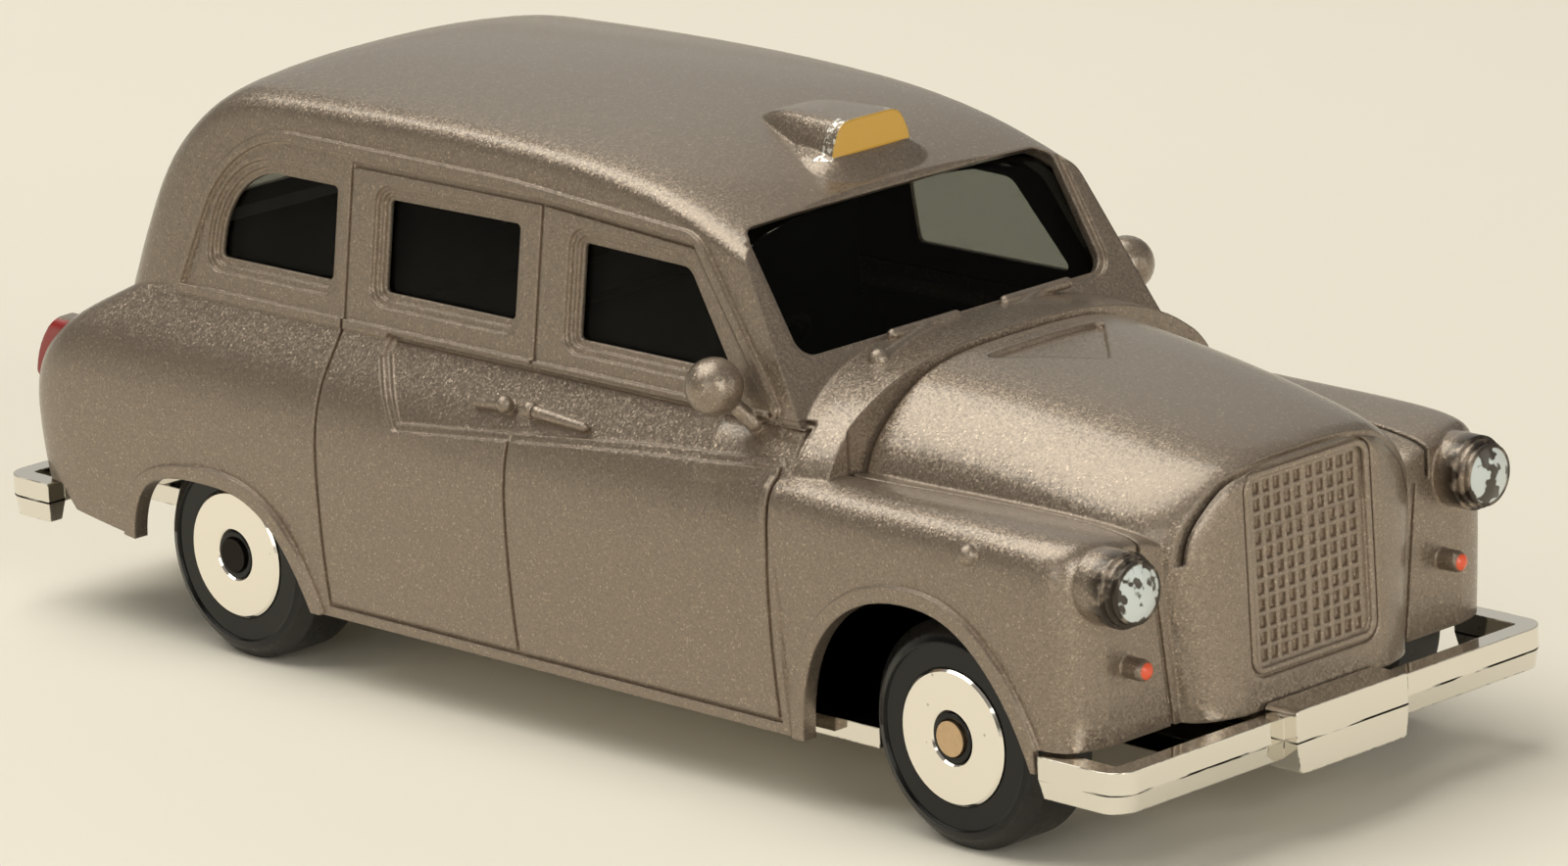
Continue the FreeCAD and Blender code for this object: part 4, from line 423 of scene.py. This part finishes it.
peel = add(paint_tree, "ShaderNodeTexNoise", {
    "Vector": place_mm, "Scale": 1 / PEEL_MM, "Detail": 1.0,
}).outputs[0]
coat_normal = add(paint_tree, "ShaderNodeBump", {
    "Strength": 0.12, "Distance": PEEL_DEPTH_MM * MM, "Height": peel, "Normal": soft_edge,
}).outputs[0]
lean = add(paint_tree, "ShaderNodeVectorMath", {0: flakes.outputs["Color"], 1: (0.5, 0.5, 0.5)},
           operation="SUBTRACT").outputs[0]
lean_size = add(paint_tree, "ShaderNodeMath", {0: unprinted, 1: FLAKE_TILT},
                operation="MULTIPLY").outputs[0]
lean = add(paint_tree, "ShaderNodeVectorMath", {0: lean, "Scale": lean_size},
           operation="SCALE").outputs[0]
flake_normal = add(paint_tree, "ShaderNodeVectorMath", {0: coat_normal, 1: lean},
                   operation="ADD").outputs[0]
flake_normal = add(paint_tree, "ShaderNodeVectorMath", {0: flake_normal},
                   operation="NORMALIZE").outputs[0]
metal = add(paint_tree, "ShaderNodeMath", {0: unprinted, 1: PAINT_METAL},
            operation="MULTIPLY").outputs[0]
lacquer = add(paint_tree, "ShaderNodeBsdfPrincipled", {
    "Base Color": colour, "Metallic": metal, "Roughness": 0.42, "Normal": flake_normal,
    "Coat Weight": 0.6, "Coat Roughness": 0.15, "Coat Normal": coat_normal,
})
paint_tree.links.new(lacquer.outputs[0], paint_output.inputs["Surface"])
print("paint nodes:", len(paint_tree.nodes))

# %% [markdown]
# ## Smoked windows
#
# The windows are one moulding of clear polystyrene with a little smoke in it. A black gloss would
# look alike from the side, but the windscreen shows the far side window, so the moulding
# transmits, and each surface takes a part of the light. Its polish is high, but the toy's windows
# mirror almost nothing, so its IOR is brought down from the 1.59 of polystyrene. Light that only
# passes through to the seats takes the same tint without being bent, which keeps the picture free
# of grain.

# %% Smoked clear moulding
SMOKE = hex_colour("#A9ABA6")
RIPPLE_MM, RIPPLE_DEPTH_MM = 4.0, 0.1

# polished moulding: deep, dark and clear, with a slight wave where the plastic shrank
smoked, tree, output = new_material("smoked_polystyrene")
place = add(tree, "ShaderNodeTexCoord").outputs["Object"]
ripple = add(tree, "ShaderNodeTexNoise", {
    "Vector": place, "Scale": 1 / (RIPPLE_MM * MM), "Detail": 1.0,
}).outputs[0]
wave = add(tree, "ShaderNodeBump", {
    "Strength": 0.12, "Distance": RIPPLE_DEPTH_MM * MM, "Height": ripple,
}).outputs[0]
clear = add(tree, "ShaderNodeBsdfPrincipled", {
    "Base Color": SMOKE, "Roughness": 0.02, "IOR": 1.15, "Transmission Weight": 1.0,
    "Normal": wave,
})
path = add(tree, "ShaderNodeLightPath").outputs
passing = add(tree, "ShaderNodeMath", {0: path["Is Shadow Ray"], 1: path["Is Diffuse Ray"]},
              operation="MAXIMUM").outputs[0]
straight = add(tree, "ShaderNodeBsdfTransparent", {"Color": SMOKE})
either = add(tree, "ShaderNodeMixShader", {
    0: passing, 1: clear.outputs[0], 2: straight.outputs[0],
})
tree.links.new(either.outputs[0], output.inputs["Surface"])
print("ripples of", RIPPLE_MM, "mm")

# %% [markdown]
# ## Seats
#
# Seats, dash and steering wheel are one black moulding from a spark-eroded mould, which leaves a
# satin grain. A plain black would do behind dark windows, but the grain shows when the toy is
# taken apart. Real grain is about 0.03 mm, too fine to show, so it is drawn at 0.4 mm.

# %% Black seats
GRAIN_MM, GRAIN_DEPTH_MM = 0.4, 0.02

# satin moulded polystyrene: black with no clear highlight
seat_black, tree, output = new_material("satin_black_styrene")
place = add(tree, "ShaderNodeTexCoord").outputs["Object"]
grain = add(tree, "ShaderNodeTexNoise", {
    "Vector": place, "Scale": 1 / (GRAIN_MM * MM), "Detail": 1.0,
}).outputs[0]
bump = add(tree, "ShaderNodeBump", {
    "Strength": 0.1, "Distance": GRAIN_DEPTH_MM * MM, "Height": grain,
}).outputs[0]
satin = add(tree, "ShaderNodeBsdfPrincipled", {
    "Base Color": hex_colour("#0C0B0B"), "Roughness": 0.55, "Specular IOR Level": 0.15,
    "Normal": bump,
})
tree.links.new(satin.outputs[0], output.inputs["Surface"])
print("grain of", GRAIN_MM, "mm")

# %% [markdown]
# ## Wheels
#
# The wheels are black mouldings from a polished mould, and their treads are scuffed by play, which
# turns them dark grey. A second material on the tread would need the mesh to be cut, so the
# distance from the hub tells tread from side. The two axles have two hubs, so there is one
# material for each.

# %% Black wheels
TREAD_RADIUS_MM, TREAD_FADE_MM = 4.35, 0.1
SCUFF_MM, SCUFF_DEPTH_MM, WHEEL_EDGE_MM = 0.5, 0.02, 0.15
WHEEL_BLACK, TREAD_GREY = hex_colour("#0B0A0A"), hex_colour("#2B2826")


def wheel_plastic(name, hub):
    """Polished black plastic, glossy on the sides and dull grey on the scuffed tread."""
    material, tree, output = new_material(name)
    place = add(tree, "ShaderNodeTexCoord").outputs["Object"]
    from_hub = add(tree, "ShaderNodeVectorMath", {0: place, 1: hub},
                   operation="SUBTRACT").outputs[0]
    flat = add(tree, "ShaderNodeVectorMath", {0: from_hub, 1: (1.0, 0.0, 1.0)},
               operation="MULTIPLY").outputs[0]
    radius = add(tree, "ShaderNodeVectorMath", {0: flat}, operation="LENGTH").outputs["Value"]
    tread = add(tree, "ShaderNodeMapRange", {
        "Value": radius, "From Min": (TREAD_RADIUS_MM - TREAD_FADE_MM) * MM,
        "From Max": (TREAD_RADIUS_MM + TREAD_FADE_MM) * MM,
    }).outputs[0]
    scuffs = add(tree, "ShaderNodeTexNoise", {
        "Vector": place, "Scale": 1 / (SCUFF_MM * MM), "Detail": 4.0,
    }).outputs[0]
    worn = add(tree, "ShaderNodeMath", {0: tread, 1: scuffs}, operation="MULTIPLY").outputs[0]
    black = add(tree, "ShaderNodeMix", {0: worn, 6: WHEEL_BLACK, 7: TREAD_GREY},
                data_type="RGBA").outputs[2]
    rough = add(tree, "ShaderNodeMapRange", {
        "Value": worn, "To Min": 0.12, "To Max": 0.55,
    }).outputs[0]
    edge = add(tree, "ShaderNodeBevel", {"Radius": WHEEL_EDGE_MM * MM}, samples=4).outputs[0]
    bump = add(tree, "ShaderNodeBump", {
        "Strength": 0.15, "Distance": SCUFF_DEPTH_MM * MM, "Height": scuffs, "Normal": edge,
    }).outputs[0]
    gloss = add(tree, "ShaderNodeBsdfPrincipled", {
        "Base Color": black, "Roughness": rough, "Specular IOR Level": 0.35, "Normal": bump,
    })
    tree.links.new(gloss.outputs[0], output.inputs["Surface"])
    return material


wheel_blacks = {}
for end_name in ("front", "rear"):
    low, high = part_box("axle_" + end_name)
    hub = (Vector(low) + Vector(high)) / 2
    wheel_blacks[end_name] = wheel_plastic("polished_black_" + end_name, hub)
    print(end_name, "hub at", round(hub[0] / MM, 2), "mm")

# %% [markdown]
# ## Plated base and bumpers: their wear
#
# The base with its bumpers is black plastic plated in a vacuum: a mirror a thousandth of a
# millimetre thick. It wears through along the crease of each bumper and on its edges, where the
# plastic shows as thin dark scratches. They could be painted on by hand, but masks follow the real
# places: a height for each crease, and for the edges the difference between the sharp normal and a
# rounded one.

# %% Wear of the plating
# height, start and end along the car of each bumper's crease
CREASES_MM = ((4.45, 26.0, 40.0), (5.45, -40.0, -30.0))
CREASE_HALF_MM, PLATE_EDGE_MM = 0.05, 0.1
STREAKS_PER_MM, NICKS_PER_MM = (0.35, 0.35, 2.5), 1.6

# aluminium film on black plastic: a bright mirror, broken by thin dark scratches
plated, tree, output = new_material("vacuum_plating")
place = add(tree, "ShaderNodeTexCoord").outputs["Object"]
place_mm = add(tree, "ShaderNodeVectorMath", {0: place, "Scale": 1 / MM},
               operation="SCALE").outputs[0]
own = add(tree, "ShaderNodeSeparateXYZ", {0: place_mm}).outputs
creased = None
for crease, start, end in CREASES_MM:
    level = add(tree, "ShaderNodeMath", {0: own[2], 1: crease, 2: CREASE_HALF_MM},
                operation="COMPARE").outputs[0]
    along = add(tree, "ShaderNodeMath", {0: own[0], 1: (start + end) / 2, 2: (end - start) / 2},
                operation="COMPARE").outputs[0]
    line = add(tree, "ShaderNodeMath", {0: level, 1: along}, operation="MULTIPLY").outputs[0]
    creased = line if creased is None else add(tree, "ShaderNodeMath", {0: creased, 1: line},
                                               operation="ADD").outputs[0]
streaks = add(tree, "ShaderNodeMapping", {0: place_mm, "Scale": STREAKS_PER_MM}).outputs[0]
patches = add(tree, "ShaderNodeTexNoise", {
    "Vector": streaks, "Scale": 1.0, "Detail": 3.0,
}).outputs[0]
broken = add(tree, "ShaderNodeMapRange", {
    "Value": patches, "From Min": 0.42, "From Max": 0.50,
}).outputs[0]
crease_wear = add(tree, "ShaderNodeMath", {0: creased, 1: broken},
                  operation="MULTIPLY").outputs[0]

soft_edge = add(tree, "ShaderNodeBevel", {"Radius": PLATE_EDGE_MM * MM}, samples=4).outputs[0]
facing = add(tree, "ShaderNodeNewGeometry").outputs["Normal"]
bend = add(tree, "ShaderNodeVectorMath", {0: soft_edge, 1: facing},
           operation="DOT_PRODUCT").outputs["Value"]
edge = add(tree, "ShaderNodeMapRange", {
    "Value": bend, "From Min": 0.90, "From Max": 0.98, "To Min": 1.0, "To Max": 0.0,
}).outputs[0]
nicks = add(tree, "ShaderNodeTexNoise", {
    "Vector": place_mm, "Scale": NICKS_PER_MM, "Detail": 3.0,
}).outputs[0]
nicked = add(tree, "ShaderNodeMapRange", {
    "Value": nicks, "From Min": 0.55, "From Max": 0.60,
}).outputs[0]
edge_wear = add(tree, "ShaderNodeMath", {0: edge, 1: nicked}, operation="MULTIPLY").outputs[0]
wear = add(tree, "ShaderNodeMath", {0: crease_wear, 1: edge_wear},
           operation="MAXIMUM").outputs[0]
print("creases at", [crease for crease, start, end in CREASES_MM], "mm")

# %% [markdown]
# ## Plated base and bumpers: the mirror
#
# Where the plating is whole it mirrors the paper and the dim room, and so shows pale faces with
# dark bands. Where it is worn, the colour and the gloss fall to those of the plastic. One shader
# with two mixed values is enough, because the worn places are only lines.

# %% Plating shader
PLATING, PLASTIC_SHOWING = hex_colour("#EAE6DD"), hex_colour("#1E1814")

plate_colour = add(tree, "ShaderNodeMix", {0: wear, 6: PLATING, 7: PLASTIC_SHOWING},
                   data_type="RGBA").outputs[2]
plate_rough = add(tree, "ShaderNodeMapRange", {
    "Value": wear, "To Min": 0.07, "To Max": 0.5,
}).outputs[0]
mirror = add(tree, "ShaderNodeBsdfPrincipled", {
    "Base Color": plate_colour, "Metallic": 1.0, "Roughness": plate_rough, "Normal": soft_edge,
})
tree.links.new(mirror.outputs[0], output.inputs["Surface"])
print("plating nodes:", len(tree.nodes))

# %% [markdown]
# ## Bright discs
#
# The wheel discs are covered with hot-stamped foil. Seen from the camera they mirror only the
# paper, so they look cream. A flat cream colour would stay cream from every side, and a real mirror
# changes as the toy turns. A few specks of dust and a slight ripple keep it from looking perfect.

# %% Bright foil
DUST_MM, FOIL_RIPPLE_MM, FOIL_DEPTH_MM = 1.2, 1.5, 0.02
FOIL_BRIGHT = hex_colour("#F6F1E8")[:3]

# hot-stamped aluminium foil: a bright, nearly flat mirror
foil, tree, output = new_material("stamped_foil")
place = add(tree, "ShaderNodeTexCoord").outputs["Object"]
dust = add(tree, "ShaderNodeTexVoronoi", {
    "Vector": place, "Scale": 1 / (DUST_MM * MM),
}).outputs["Distance"]
clean = add(tree, "ShaderNodeMapRange", {
    "Value": dust, "From Min": 0.04, "From Max": 0.07, "To Min": 0.6, "To Max": 1.0,
}).outputs[0]
foil_colour = add(tree, "ShaderNodeVectorMath", {0: FOIL_BRIGHT, "Scale": clean},
                  operation="SCALE").outputs[0]
ripple = add(tree, "ShaderNodeTexNoise", {
    "Vector": place, "Scale": 1 / (FOIL_RIPPLE_MM * MM),
}).outputs[0]
bump = add(tree, "ShaderNodeBump", {
    "Strength": 0.1, "Distance": FOIL_DEPTH_MM * MM, "Height": ripple,
}).outputs[0]
shine = add(tree, "ShaderNodeBsdfPrincipled", {
    "Base Color": foil_colour, "Metallic": 1.0, "Roughness": 0.09, "Normal": bump,
})
tree.links.new(shine.outputs[0], output.inputs["Surface"])
print("specks every", DUST_MM, "mm")

# %% [markdown]
# ## Axle ends
#
# The axles are plain steel wire with formed ends. The front one shows a warm, slightly dull end,
# while the rear one is painted nearly black, as painted shade. They differ only in colour and
# roughness, so one function makes both. Real drawing marks are about 0.01 mm apart, too fine to
# show, so they are drawn at 0.2 mm.

# %% Steel axles
MARKS_MM = 0.2


def axle_steel(name, colour_code, roughness):
    """Drawn steel: a soft metal shine, broken by fine marks."""
    material, tree, output = new_material(name)
    place = add(tree, "ShaderNodeTexCoord").outputs["Object"]
    marks = add(tree, "ShaderNodeTexNoise", {
        "Vector": place, "Scale": 1 / (MARKS_MM * MM), "Detail": 2.0,
    }).outputs[0]
    tone = add(tree, "ShaderNodeMapRange", {
        "Value": marks, "To Min": 0.85, "To Max": 1.1,
    }).outputs[0]
    colour = add(tree, "ShaderNodeVectorMath", {0: hex_colour(colour_code)[:3], "Scale": tone},
                 operation="SCALE").outputs[0]
    steel = add(tree, "ShaderNodeBsdfPrincipled", {
        "Base Color": colour, "Metallic": 1.0, "Roughness": roughness,
    })
    tree.links.new(steel.outputs[0], output.inputs["Surface"])
    return material


front_steel = axle_steel("warm_drawn_steel", "#D2B591", 0.35)
# painted shade: the rear axle end is painted nearly black, standing in for the shade it lies in
shaded_rear_steel = axle_steel("painted_shade_drawn_steel", "#2A2622", 0.45)
print("axles:", front_steel.name, "and", shaded_rear_steel.name)

# %% [markdown]
# ## Give each piece its finish
#
# The pieces of the CAD model keep their shapes and places. Only their material slots are filled,
# because every form of the toy is already in the solids.

# %% Finishes
FINISHES = {
    "body_shell": silver, "glazing": smoked, "interior": seat_black, "base": plated,
    "axle_front": front_steel, "axle_rear": shaded_rear_steel,
}
for node_name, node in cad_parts.items():
    if node_name.startswith("wheel_disc"):
        finish = foil
    elif node_name.startswith("wheel"):
        finish = wheel_blacks[node_name.split("_")[1]]
    else:
        finish = FINISHES[node_name]
    node.data.materials.clear()
    node.data.materials.append(finish)
    print(node_name, "is", finish.name)

# %% [markdown]
# ## The same size as the model
#
# The scene adds no pieces to the toy, so its box has to be the box of the CAD model. Here the box
# of the scene is found.

# %% Find the box of the scene
low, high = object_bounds()
